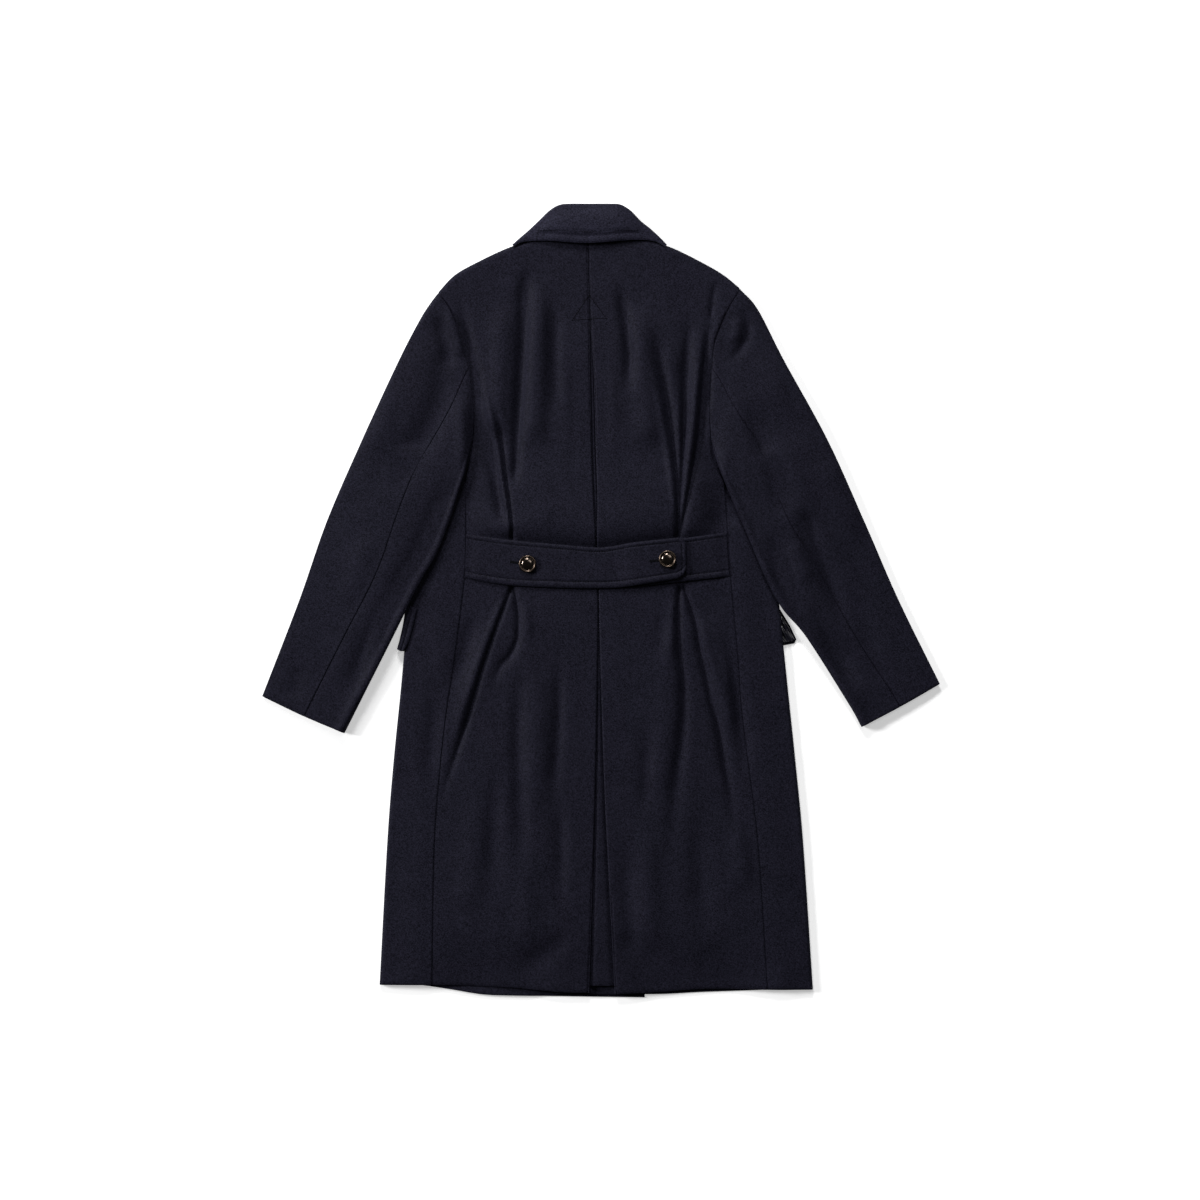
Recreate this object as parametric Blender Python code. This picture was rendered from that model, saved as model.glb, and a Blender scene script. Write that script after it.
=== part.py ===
"""Double-breasted long wool coat, laid flat and face down.

Metres, +Z up. The floor is z = 0, +Y runs from hem to collar and the wearer's left is at -X.
Every piece of cloth is a sheet of middle points, placed from the coat's sizes, that Solidify thickens.
Plan points are (x, y); heights are those of the middle of the cloth.
"""
import math
from collections import namedtuple

import bmesh
import bpy
import numpy as np

for old in list(bpy.data.objects):
    bpy.data.objects.remove(old, do_unlink=True)

# Cloth and the way its layers lie
CLOTH = 0.002
DOUBLE_CLOTH = 0.003
SATIN = 0.001
SEAM_GAP = 0.0003
ARMHOLE_GAP = 0.0005
UNDERARM_GAP = 0.0018
LAYER_GAP = 0.0005
EDGE_RADIUS = 0.005
PLEAT_RADIUS = 0.00125
BODY_TOP = 0.011
BODY_CROWN = 0.0045
SLEEVE_LOFT = 0.010
SLEEVE_RIDE = 0.0132

# Heights along the coat
NECK_Y = 0.531
UNDERARM_Y = 0.171
SEAM_TOP_Y = 0.174
BREAK_Y = 0.191
PLEAT_TOP_Y = 0.410
LAP_TOP_Y = 0.370
BELT_Y = 0.058
HEM_Y = -0.570

# Grid steps
SHOULDER_STEPS = 8
NECK_STEPS = 5
OUTER_SLEEVE_STEPS = 4
INNER_SLEEVE_STEPS = 3
STRIP_STEPS = 3
SEAM_ROWS = [0.135, 0.108, 0.092, 0.062, 0.032, 0.014, -0.02, -0.07, -0.12, -0.18, -0.25, -0.33, -0.41, -0.49]
SLEEVE_ROWS = [0, 0.03, 0.06, 0.1, 0.14, 0.18, 0.22, 0.27, 0.33, 0.4, 0.48, 0.56, 0.64, 0.72, 0.8, 0.88, 0.94, 1]
ROLL_ANGLES = [0.09, 0.30, math.pi / 4, math.pi / 2]

Side = namedtuple("Side", "name sign neck shoulder armhole underarm seam edge pleat back_hem front_hem front_edge "
                          "sleeve_outer sleeve_inner sleeve_seam cuff")

LEFT = Side(
    name="left", sign=1,
    neck=[(-0.101, 0.526), (-0.060, 0.530), (-0.020, NECK_Y)],
    shoulder=[(-0.238, 0.450), (-0.213, 0.476), (-0.177, 0.496), (-0.136, 0.515), (-0.101, 0.526)],
    armhole=[(-0.238, 0.450), (-0.222, 0.428), (-0.210, 0.399), (-0.199, 0.366), (-0.193, 0.337),
             (-0.188, 0.301), (-0.185, 0.264), (-0.186, 0.235)],
    underarm=[(-0.186, 0.235), (-0.188, 0.212), (-0.193, 0.191), (-0.199, SEAM_TOP_Y)],
    seam=[(-0.199, SEAM_TOP_Y), (-0.198, 0.096), (-0.200, 0.034), (-0.215, -0.086), (-0.225, -0.152),
          (-0.235, -0.239), (-0.244, -0.356), (-0.248, -0.561)],
    edge=[(-0.272, UNDERARM_Y), (-0.277, 0.096), (-0.281, 0.034), (-0.289, -0.086), (-0.304, -0.239),
          (-0.313, -0.356), (-0.324, -0.561)],
    pleat=[(-0.0195, NECK_Y), (-0.0162, 0.410), (-0.0154, 0.333), (-0.0135, 0.231), (-0.0102, 0.142),
           (-0.0067, 0.085), (-0.0042, 0.010), (-0.0044, -0.072), (-0.0085, -0.291), (-0.0167, -0.572)],
    back_hem=[(-0.248, -0.561), (-0.147, -0.564), (-0.058, -0.571), (-0.0167, -0.572)],
    front_hem=[(-0.324, -0.561), (-0.273, -0.561), (-0.220, -0.568), (-0.177, -0.575), (-0.137, -0.577),
               (0.064, -0.580)],
    front_edge=0.064,
    sleeve_outer=[(-0.238, 0.450), (-0.250, 0.434), (-0.265, 0.410), (-0.295, 0.352), (-0.349, 0.235),
                  (-0.400, 0.118), (-0.441, 0.001), (-0.495, -0.139)],
    sleeve_inner=[(-0.186, 0.235), (-0.200, 0.172), (-0.234, 0.079), (-0.266, 0.022), (-0.312, -0.065),
                  (-0.374, -0.193)],
    sleeve_seam=[(-0.194, 0.343), (-0.219, 0.285), (-0.251, 0.228), (-0.273, 0.190), (-0.297, 0.131),
                 (-0.325, 0.047), (-0.375, -0.050), (-0.434, -0.167)],
    cuff=[(-0.495, -0.139), (-0.434, -0.168), (-0.374, -0.193)],
)
RIGHT = Side(
    name="right", sign=-1,
    neck=[(0.069, 0.526), (0.022, 0.530), (-0.019, NECK_Y)],
    shoulder=[(0.203, 0.456), (0.178, 0.476), (0.145, 0.495), (0.104, 0.515), (0.069, 0.526)],
    armhole=[(0.203, 0.456), (0.187, 0.432), (0.174, 0.403), (0.164, 0.374), (0.161, 0.337),
             (0.159, 0.301), (0.158, 0.264), (0.159, 0.235)],
    underarm=[(0.159, 0.235), (0.161, 0.212), (0.169, 0.191), (0.180, SEAM_TOP_Y)],
    seam=[(0.180, SEAM_TOP_Y), (0.184, 0.096), (0.188, 0.034), (0.199, -0.086), (0.204, -0.152),
          (0.214, -0.239), (0.228, -0.356), (0.242, -0.568)],
    edge=[(0.245, UNDERARM_Y), (0.251, 0.096), (0.257, 0.034), (0.269, -0.086), (0.285, -0.239),
          (0.296, -0.356), (0.310, -0.566)],
    pleat=[(-0.0189, NECK_Y), (-0.0156, 0.410), (-0.0108, 0.333), (-0.0080, 0.231), (-0.0056, 0.142),
           (-0.0061, 0.085), (-0.0036, 0.010), (-0.0016, -0.072), (0.0055, -0.291), (0.0201, -0.574)],
    back_hem=[(0.242, -0.568), (0.153, -0.567), (0.072, -0.572), (0.0201, -0.574)],
    front_hem=[(0.310, -0.566), (0.238, -0.569), (0.150, -0.572), (0.080, -0.575), (-0.067, -0.575)],
    front_edge=-0.067,
    sleeve_outer=[(0.203, 0.456), (0.229, 0.426), (0.267, 0.352), (0.331, 0.235), (0.384, 0.118),
                  (0.435, 0.001), (0.4950, -0.121)],
    sleeve_inner=[(0.159, 0.235), (0.174, 0.185), (0.214, 0.091), (0.258, -0.002), (0.299, -0.053),
                  (0.361, -0.150), (0.380, -0.184)],
    sleeve_seam=[(0.162, 0.342), (0.200, 0.273), (0.234, 0.222), (0.254, 0.169), (0.271, 0.117),
                 (0.305, 0.066), (0.361, -0.036), (0.399, -0.096), (0.437, -0.154)],
    cuff=[(0.4950, -0.121), (0.437, -0.154), (0.380, -0.184)],
)

# What lies under the fronts and props them up: a box in plan and the height it needs
Prop = namedtuple("Prop", "x0 x1 y0 y1 height")
PROPS = [
    Prop(-0.155, 0.142, -0.140, 0.560, 0.0038),
    Prop(-0.300, -0.170, -0.080, -0.005, 0.0030),
    Prop(0.150, 0.300, -0.075, -0.005, 0.0038),
]
PROP_MARGIN = 0.020
PROP_RAMP = 0.040

# The back's largest folds: a bent line through three points, its half width and its height
Fold = namedtuple("Fold", "start middle end width height")
FOLDS = [
    Fold((-0.088, 0.476), (-0.093, 0.366), (-0.099, 0.220), 0.016, 0.0040),
    Fold((-0.172, 0.314), (-0.152, 0.220), (-0.131, 0.096), 0.010, 0.0070),
    Fold((-0.143, 0.440), (-0.147, 0.337), (-0.152, 0.235), 0.016, 0.0035),
    Fold((0.057, 0.440), (0.064, 0.323), (0.074, 0.220), 0.018, 0.0035),
    Fold((0.098, 0.396), (0.107, 0.250), (0.110, 0.147), 0.011, 0.0050),
    Fold((0.142, 0.409), (0.134, 0.264), (0.115, 0.118), 0.010, 0.0070),
    Fold((-0.126, 0.118), (-0.060, 0.111), (-0.001, 0.107), 0.017, 0.0040),
    Fold((0.013, 0.111), (0.057, 0.115), (0.100, 0.121), 0.017, 0.0035),
    Fold((-0.143, 0.001), (-0.177, -0.086), (-0.218, -0.188), 0.017, 0.0050),
    Fold((-0.112, 0.001), (-0.107, -0.115), (-0.118, -0.291), 0.020, 0.0040),
    Fold((0.104, 0.001), (0.098, -0.145), (0.086, -0.291), 0.020, 0.0035),
    Fold((0.145, -0.013), (0.177, -0.101), (0.206, -0.188), 0.016, 0.0050),
]
BELT_CALM = 0.037
PLEAT_CALM = 0.048

# Half belt, belt buttons, front buttons
BELT_TOP = [(-0.1970, 0.097), (-0.130, 0.088), (-0.063, 0.082), (-0.001, 0.0775), (0.050, 0.085), (0.124, 0.093)]
BELT_BOTTOM = [(-0.1990, 0.034), (-0.137, 0.024), (-0.062, 0.020), (-0.001, 0.019), (0.040, 0.022), (0.124, 0.035)]
BELT_END_X = 0.1237
BELT_END_ROUND = 0.014
BELT_STAND_OFF = 0.0022
SHORT_BELT_START_X = 0.062
BUTTON_RADIUS = 0.0127
BELT_BUTTONS = {"left": (-0.107, 0.054), "right": (0.097, 0.061)}
FRONT_BUTTON_X = {"left": -0.048, "right": 0.039}
FRONT_BUTTON_Y = {"top": 0.165, "middle": 0.025, "bottom": -0.115}
BUTTON_PROFILE = [(0.0100, 0.0), (0.0122, 0.0007), (0.0127, 0.0019), (0.0122, 0.0031), (0.0110, 0.0035),
                  (0.0098, 0.0029), (0.0086, 0.0031), (0.0050, 0.0039), (0.0, 0.0042)]

# Collar: the outline seen from above, the fall's lower edge and the seam to the neck
COLLAR_ROLL = [(-0.126, 0.5235), (-0.118, 0.530), (-0.104, 0.542), (-0.089, 0.556), (-0.074, 0.570), (-0.060, 0.5775),
               (-0.045, 0.579), (-0.017, 0.579), (0.013, 0.579), (0.028, 0.578), (0.042, 0.570), (0.057, 0.555),
               (0.072, 0.543), (0.086, 0.531), (0.092, 0.5235)]
COLLAR_EDGE = [(-0.124, 0.520), (-0.112, 0.527), (-0.079, 0.526), (-0.020, 0.522), (0.047, 0.527), (0.078, 0.528),
               (0.090, 0.520)]
COLLAR_SEAM = [(-0.108, 0.494), (-0.100, 0.503), (-0.088, 0.519), (-0.074, 0.5320), (-0.050, 0.5345), (-0.019, 0.5350),
               (0.012, 0.5345), (0.040, 0.5320), (0.057, 0.519), (0.067, 0.503), (0.075, 0.494)]
COLLAR_CENTRE_X = -0.018
COLLAR_STEPS = 24

LAPELS = {
    "left": [(-0.098, 0.495), (0.058, 0.194), (-0.140, 0.374), (-0.152, 0.413)],
    "right": [(0.066, 0.495), (0.000, 0.330), (0.026, 0.280), (0.130, 0.374), (0.139, 0.413)],
}
LEFT_FLAP_EDGE = [(-0.2885, -0.013), (-0.290, -0.035), (-0.294, -0.056), (-0.2975, -0.074)]
LEFT_FLAP_TOP_END = [(-0.2700, -0.019), (-0.2745, -0.036), (-0.2800, -0.055), (-0.2862, -0.073)]
LEFT_FLAP_LENGTH = 0.105
RIGHT_FLAP = [(0.262, -0.012), (0.2765, -0.036), (0.286, -0.056), (0.283, -0.062), (0.267, -0.065), (0.160, -0.071),
              (0.156, -0.018)]
RIGHT_FLAP_LINING = [(0.2615, -0.016), (0.2745, -0.038), (0.2825, -0.0555), (0.280, -0.0585), (0.267, -0.0615),
                     (0.163, -0.067), (0.159, -0.021)]

# Colours and finishes
WOOL = {"base": (0.012, 0.0125, 0.019), "roughness": 0.9, "metallic": 0.0}
SATIN_FINISH = {"base": (0.008, 0.008, 0.011), "roughness": 0.35, "metallic": 0.0}
BUTTON_FINISH = {"base": (0.05, 0.042, 0.038), "roughness": 0.3, "metallic": 0.7}


def smooth_path(points, count=400):
    """A smooth curve through the points, sampled evenly along its length."""
    knots = np.array(points, dtype=float)
    before = np.vstack([2 * knots[0] - knots[1], knots, 2 * knots[-1] - knots[-2]])
    dense = []
    for index in range(len(knots) - 1):
        a, b, c, d = before[index:index + 4]
        for t in np.linspace(0, 1, 60, endpoint=False):
            cubic = (2 * b + (c - a) * t + (2 * a - 5 * b + 4 * c - d) * t ** 2
                     + (3 * b - a - 3 * c + d) * t ** 3) / 2
            dense.append(cubic)
    dense = np.array(dense + [knots[-1]])
    length = np.concatenate([[0], np.cumsum(np.linalg.norm(np.diff(dense, axis=0), axis=1))])
    even = np.linspace(0, length[-1], count)
    return np.column_stack([np.interp(even, length, dense[:, k]) for k in range(2)])


def path_length(path):
    return float(np.sum(np.linalg.norm(np.diff(path, axis=0), axis=1)))


def along(path, fractions):
    """Points at fractions of the path's length."""
    where = np.linspace(0, 1, len(path))
    return np.column_stack([np.interp(fractions, where, path[:, k]) for k in range(2)])


def x_at(path, y):
    """The path's x at a height; the path runs down from collar to hem."""
    return float(np.interp(-y, -path[:, 1], path[:, 0]))


def y_at(path, x):
    """The path's y at a place across the coat; the path runs from left to right."""
    return float(np.interp(x, path[:, 0], path[:, 1]))


def smooth_step(value):
    t = min(max(value, 0.0), 1.0)
    return t * t * (3 - 2 * t)


def panel_plan(top, bottom, left, right):
    """Plan points of a panel: rows run straight from the left edge to the right one, and bow with the top and
    bottom edges near them."""
    def share(first, second):
        steps = [np.concatenate([[0], np.cumsum(np.linalg.norm(np.diff(e, axis=0), axis=1))]) for e in (first, second)]
        return (steps[0] / steps[0][-1] + steps[1] / steps[1][-1]) / 2
    u = share(top, bottom)[None, :, None]
    v = share(left, right)[:, None, None]
    straight = (1 - u) * left[:, None] + u * right[:, None]
    top_bow = top[None] - ((1 - u) * top[0] + u * top[-1])
    bottom_bow = bottom[None] - ((1 - u) * bottom[0] + u * bottom[-1])
    return straight + (1 - v) ** 4 * top_bow + v ** 4 * bottom_bow


CURVES = {side.name: {field: smooth_path(getattr(side, field)) for field in
                      ("neck", "shoulder", "armhole", "underarm", "seam", "edge", "pleat", "back_hem", "front_hem",
                       "sleeve_outer", "sleeve_inner", "sleeve_seam", "cuff")} for side in (LEFT, RIGHT)}
BELT_EDGES = {"top": smooth_path(BELT_TOP), "bottom": smooth_path(BELT_BOTTOM)}
BACK_SIDES = {name: np.vstack([c["armhole"], c["underarm"][1:], c["seam"][1:]]) for name, c in CURVES.items()}


def floor_lift(x, y):
    """How far the fronts are propped off the floor by what lies under them."""
    height = 0.0
    for prop in PROPS:
        away = math.hypot(max(prop.x0 - x, x - prop.x1, 0), max(prop.y0 - y, y - prop.y1, 0))
        height = max(height, prop.height * (1 - smooth_step((away - PROP_MARGIN) / PROP_RAMP)))
    return height


def front_height(x, y, inner=False):
    """The front on the floor; the inner front climbs onto the outer one where they lap, below the lapels."""
    lap = 0
    if inner:
        lap = 1 - smooth_step((x - LEFT.front_edge - PROP_MARGIN) / PROP_RAMP)
        lap *= 1 - smooth_step((y - LAP_TOP_Y) / PROP_RAMP)
    return CLOTH / 2 + floor_lift(x, y) + lap * (CLOTH + LAYER_GAP)


def fold_height(fold, x, y):
    """A rounded ridge on a bent line, fading to nothing at both ends."""
    ends = [np.array(p) for p in (fold.start, fold.middle, fold.end)]
    point = np.array((x, y))
    best_distance, best_place = 1.0, 0.0
    for index in (0, 1):
        run = ends[index + 1] - ends[index]
        t = min(max(float(np.dot(point - ends[index], run) / np.dot(run, run)), 0.0), 1.0)
        distance = float(np.linalg.norm(point - ends[index] - t * run))
        if distance < best_distance:
            best_distance, best_place = distance, (index + t) / 2
    fade = smooth_step(best_place / 0.25) * smooth_step((1 - best_place) / 0.15)
    return fold.height * fade * math.exp(-(best_distance / fold.width) ** 2)


def back_height(x, y):
    """The upper layer of the body: a crown over the fronts and the back's folds, calm under the belt."""
    inside = min(x - x_at(BACK_SIDES["left"], y), x_at(BACK_SIDES["right"], y) - x)
    crown = BODY_CROWN * smooth_step(inside / 0.130) * (1 - 0.7 * smooth_step((y - 0.36) / 0.09))
    folds = sum(fold_height(fold, x, y) for fold in FOLDS)
    belt_y = (y_at(BELT_EDGES["top"], x) + y_at(BELT_EDGES["bottom"], x)) / 2
    calm = smooth_step((abs(y - belt_y) - BELT_CALM) / 0.020) * smooth_step((abs(x - COLLAR_CENTRE_X) - PLEAT_CALM) / 0.02)
    return BODY_TOP + crown + folds * calm * smooth_step(inside / 0.020)


def rolled(low, high, angle):
    """Height on the round of a folded edge: -90 degrees on the lower layer, 90 on the upper one."""
    return low + (high - low) * (1 + math.sin(angle)) / 2


def finish(piece, look):
    material = bpy.data.materials.new(piece.name)
    material.use_nodes = True
    shader = material.node_tree.nodes["Principled BSDF"]
    shader.inputs["Base Color"].default_value = (*look["base"], 1)
    shader.inputs["Roughness"].default_value = look["roughness"]
    shader.inputs["Metallic"].default_value = look["metallic"]
    piece.data.materials.append(material)
    piece.data.shade_smooth()
    return piece


def sheet(name, rows, thickness=CLOTH, look=WOOL, missing=None):
    """A piece of cloth from rows of middle points, thickened both ways; missing(row, column) leaves a cell out."""
    shape = bmesh.new()
    made = {}

    def corner(row, column):
        if (row, column) not in made:
            made[row, column] = shape.verts.new(rows[row][column])
        return made[row, column]

    for row in range(len(rows) - 1):
        for column in range(len(rows[0]) - 1):
            if missing and missing(row, column):
                continue
            shape.faces.new([corner(row, column), corner(row + 1, column), corner(row + 1, column + 1),
                             corner(row, column + 1)])
    mesh = bpy.data.meshes.new(name)
    bmesh.ops.recalc_face_normals(shape, faces=shape.faces)
    shape.to_mesh(mesh)
    shape.free()
    piece = bpy.data.objects.new(name, mesh)
    bpy.context.collection.objects.link(piece)
    thicken = piece.modifiers.new("thickness", "SOLIDIFY")
    thicken.thickness = thickness
    thicken.offset = 0
    thicken.use_quality_normals = True
    return finish(piece, look)


def flat_piece(name, outline, bottom, thickness, look=WOOL):
    """A flat piece lying level, cut to an outline."""
    shape = bmesh.new()
    face = shape.faces.new([shape.verts.new((x, y, bottom)) for x, y in outline])
    grown = bmesh.ops.extrude_face_region(shape, geom=[face])
    raised = [item for item in grown["geom"] if isinstance(item, bmesh.types.BMVert)]
    bmesh.ops.translate(shape, verts=raised, vec=(0, 0, thickness))
    bmesh.ops.recalc_face_normals(shape, faces=shape.faces)
    mesh = bpy.data.meshes.new(name)
    shape.to_mesh(mesh)
    shape.free()
    piece = bpy.data.objects.new(name, mesh)
    bpy.context.collection.objects.link(piece)
    return finish(piece, look)


def button(name, x, y, bottom, steps, height_share=1.0, face_down=False):
    """A turned button: rim, ring groove and domed middle."""
    top = BUTTON_PROFILE[-1][1] * height_share
    rings = [(r, top - z * height_share if face_down else z * height_share) for r, z in BUTTON_PROFILE]
    shape = bmesh.new()
    levels = []
    for radius, height in rings[:-1]:
        turn = [2 * math.pi * k / steps for k in range(steps)]
        levels.append([shape.verts.new((radius * math.cos(a), radius * math.sin(a), height)) for a in turn])
    tip = shape.verts.new((0, 0, rings[-1][1]))
    shape.faces.new(levels[0])
    for lower, upper in zip(levels, levels[1:]):
        for k in range(steps):
            shape.faces.new([lower[k], lower[(k + 1) % steps], upper[(k + 1) % steps], upper[k]])
    for k in range(steps):
        shape.faces.new([levels[-1][k], levels[-1][(k + 1) % steps], tip])
    bmesh.ops.recalc_face_normals(shape, faces=shape.faces)
    mesh = bpy.data.meshes.new(name)
    shape.to_mesh(mesh)
    shape.free()
    piece = bpy.data.objects.new(name, mesh)
    piece.location = (x, y, bottom)
    bpy.context.collection.objects.link(piece)
    return finish(piece, BUTTON_FINISH)


def armhole_fractions(side):
    """Shared places along the armhole, as fractions: the shoulder's roll, the sleeve's seam, the underarm fold."""
    curves = CURVES[side.name]
    length = path_length(curves["armhole"])
    roll = [CLOTH / 2 + EDGE_RADIUS * (1 - math.cos(a)) for a in ROLL_ANGLES]
    seam = length * sleeve_seam_share(side, 0)
    outer = list(np.linspace(roll[-1], seam, OUTER_SLEEVE_STEPS + 1)[1:])
    inner = list(np.linspace(seam, length - roll[-1], INNER_SLEEVE_STEPS + 1)[1:])
    return np.array(roll + outer + inner) / length


def sleeve_plan(side, share, v):
    """A place on the flat sleeve: share runs from outer to inner edge, v from armhole to cuff."""
    curves = CURVES[side.name]
    top, bottom, outer, inner = (along(curves[key], [at])[0] for key, at in
                                 (("armhole", share), ("cuff", share), ("sleeve_outer", v), ("sleeve_inner", v)))
    corners = ((1 - v) * ((1 - share) * curves["armhole"][0] + share * curves["armhole"][-1])
               + v * ((1 - share) * curves["cuff"][0] + share * curves["cuff"][-1]))
    place = (1 - v) * top + v * bottom + (1 - share) * outer + share * inner - corners
    gap = ARMHOLE_GAP + UNDERARM_GAP * smooth_step((share - 0.7) / 0.3)
    return place - np.array((side.sign * gap, 0))


def sleeve_seam_share(side, v):
    """Where the back seam of the sleeve crosses a section, as a share of its width."""
    seam = CURVES[side.name]["sleeve_seam"]
    shares = np.linspace(0.2, 0.8, 121)
    away = [np.min(np.linalg.norm(seam - sleeve_plan(side, share, v), axis=1)) for share in shares]
    return float(shares[int(np.argmin(away))])


def sleeve_low(side, x, y):
    """The sleeve's lower layer: on the floor, at the front's level by the armhole, over the body where it laps."""
    inside = side.sign * (x - x_at(CURVES[side.name]["edge"], y))
    start_y = 0.235 + 0.3 * max(side.sign * (side.armhole[-1][0] - x), 0)
    climb = smooth_step((start_y - y) / 0.036) * smooth_step((inside + 0.090) / 0.055)
    return CLOTH / 2 + max(floor_lift(x, y) * (1 - climb), SLEEVE_RIDE * climb)


def back_panel(side):
    curves = CURVES[side.name]
    arm = along(curves["armhole"], armhole_fractions(side))
    hidden = along(curves["underarm"], [0, 0.35, 0.7, 1])
    seam = np.array([(x_at(curves["seam"], y), y) for y in SEAM_ROWS] + [curves["seam"][-1]])
    left = np.vstack([arm, hidden, seam])
    roll_rows = len(ROLL_ANGLES)
    low_y = left[roll_rows:len(arm) + len(hidden), 1]
    spread = (NECK_Y - EDGE_RADIUS - SEAM_TOP_Y) / (left[roll_rows - 1, 1] - SEAM_TOP_Y)
    centre_y = [NECK_Y - EDGE_RADIUS * (1 - math.cos(a)) for a in ROLL_ANGLES]
    centre_y += list(SEAM_TOP_Y + (low_y - SEAM_TOP_Y) * spread) + SEAM_ROWS + [curves["pleat"][-1, 1]]
    fold = np.array([(x_at(curves["pleat"], y), y) for y in centre_y])
    fold[:, 0] -= side.sign * (CLOTH / 2 + SEAM_GAP / 2)
    right = fold - np.array((side.sign * PLEAT_RADIUS, 0))
    top = np.vstack([along(curves["shoulder"], np.linspace(0, 1, SHOULDER_STEPS + 1)),
                     along(curves["neck"], np.linspace(0, 1, NECK_STEPS + 1))[1:]])
    bottom = along(curves["back_hem"], np.linspace(0, 1, len(top)))
    top[0], top[-1], bottom[0], bottom[-1] = left[0], right[0], left[-1], right[-1]
    plan = panel_plan(top, bottom, left, right)
    rows = []
    for index, line in enumerate(plan):
        row = []
        for x, y in line:
            angle = ROLL_ANGLES[index] if index < roll_rows else math.pi / 2
            row.append((x, y, rolled(front_height(x, y, side is RIGHT), back_height(x, y), angle)))
        edge_x, y = fold[index]
        depth = np.interp(y, [HEM_Y, PLEAT_TOP_Y, NECK_Y], [0.045, 0.020, 0.015])
        for angle in (math.pi / 6, -math.pi / 6, -math.pi / 2):
            x = edge_x - side.sign * PLEAT_RADIUS * (1 - math.cos(angle))
            row.append((x, y, back_height(x, y) - PLEAT_RADIUS * (1 - math.sin(angle))))
        for share in (0.5, 1):
            x = edge_x - side.sign * (PLEAT_RADIUS + depth * share)
            row.append((x, y, back_height(x, y) - 2 * PLEAT_RADIUS))
        rows.append(row)
    last = len(top) - 1
    sheet("back_" + side.name, rows, missing=lambda r, c: c >= last and r < roll_rows)


def pleat_underlay():
    """The strip behind the pleat, a little shorter than the hem, sewn to the turned-under edges."""
    heights = [y for y in np.linspace(PLEAT_TOP_Y, HEM_Y + 0.008, 22)]
    rows = []
    for y in heights:
        depth = np.interp(y, [HEM_Y, PLEAT_TOP_Y], [0.045, 0.020])
        first = x_at(CURVES["left"]["pleat"], y) - depth
        last = x_at(CURVES["right"]["pleat"], y) + depth
        rows.append([(x, y, back_height(x, y) - 4 * PLEAT_RADIUS) for x in np.linspace(first, last, 6)])
    sheet("pleat_underlay", rows)


def front_panel(side, inner):
    curves = CURVES[side.name]
    arm = along(curves["armhole"], armhole_fractions(side))
    edge_path = curves["edge"] + np.array((side.sign * CLOTH / 2, 0))
    fold_start = np.array((x_at(edge_path, UNDERARM_Y) + side.sign * EDGE_RADIUS, UNDERARM_Y))
    arm_end = arm[-1][0]
    under_sleeve = [(0.003, 0.213), (0.013, 0.200), (0.044, 0.187)]
    scoop = smooth_path([arm[-1]] + [(arm_end - side.sign * out, y) for out, y in under_sleeve] + [fold_start])
    left = np.vstack([arm, along(scoop, [0.25, 0.5, 0.75, 1])])
    neck_point = np.array(side.shoulder[-1])
    break_point = np.array((side.front_edge, BREAK_Y))
    roll_line = break_point - neck_point
    reach = float(np.linalg.norm(roll_line))
    steps = [EDGE_RADIUS * (1 - math.cos(a)) / reach for a in ROLL_ANGLES]
    steps += list(np.linspace(steps[-1], 1, len(left) - len(steps))[1:])
    right = np.vstack([neck_point + roll_line * np.array(steps)[:, None], [(side.front_edge, UNDERARM_Y)]])
    top = along(curves["shoulder"], np.linspace(0, 1, SHOULDER_STEPS + 1))
    top[0], top[-1] = left[0], right[0]
    waist = np.linspace(left[-1], right[-1], SHOULDER_STEPS + 1)
    upper = panel_plan(top, waist, left, right)

    heights = [SEAM_TOP_Y] + SEAM_ROWS + [curves["seam"][-1, 1]]
    edge_x = [x_at(edge_path, y) for y in heights]
    lower_left = np.array([(x + side.sign * EDGE_RADIUS, y) for x, y in zip(edge_x, heights)])
    lower_left[0] = left[-1]
    hem = along(curves["front_hem"], np.linspace(0, 1, SHOULDER_STEPS + 1))
    hem[0] = lower_left[-1]
    lower_right = np.array([(side.front_edge, y) for y in [UNDERARM_Y] + SEAM_ROWS + [hem[-1][1]]])
    lower = panel_plan(waist, hem, lower_left, lower_right)

    wrap = STRIP_STEPS + 4
    rows = []
    for index in range(len(left) - 1):
        angle = -ROLL_ANGLES[index] if index < len(ROLL_ANGLES) else -math.pi / 2
        flat = [(x, y, rolled(front_height(x, y, inner), back_height(x, y), angle)) for x, y in upper[index]]
        rows.append([None] * wrap + flat)
    for index, y in enumerate(heights):
        seam_x = x_at(curves["seam"], y) - side.sign * SEAM_GAP
        strip = np.linspace(seam_x, edge_x[index] + side.sign * EDGE_RADIUS, STRIP_STEPS + 1)
        row = [(x, y, back_height(x, y)) for x in strip]
        for angle in (math.pi / 4, 0, -math.pi / 4):
            x = edge_x[index] + side.sign * EDGE_RADIUS * (1 - math.cos(angle))
            row.append((x, y, rolled(front_height(x, y, inner), back_height(x, y), angle)))
        row += [(x, y_flat, front_height(x, y_flat, inner)) for x, y_flat in lower[index]]
        rows.append(row)
    upper_rows = len(left) - 1
    sheet("front_" + side.name, rows, missing=lambda r, c: c < wrap and r < upper_rows)


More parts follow.
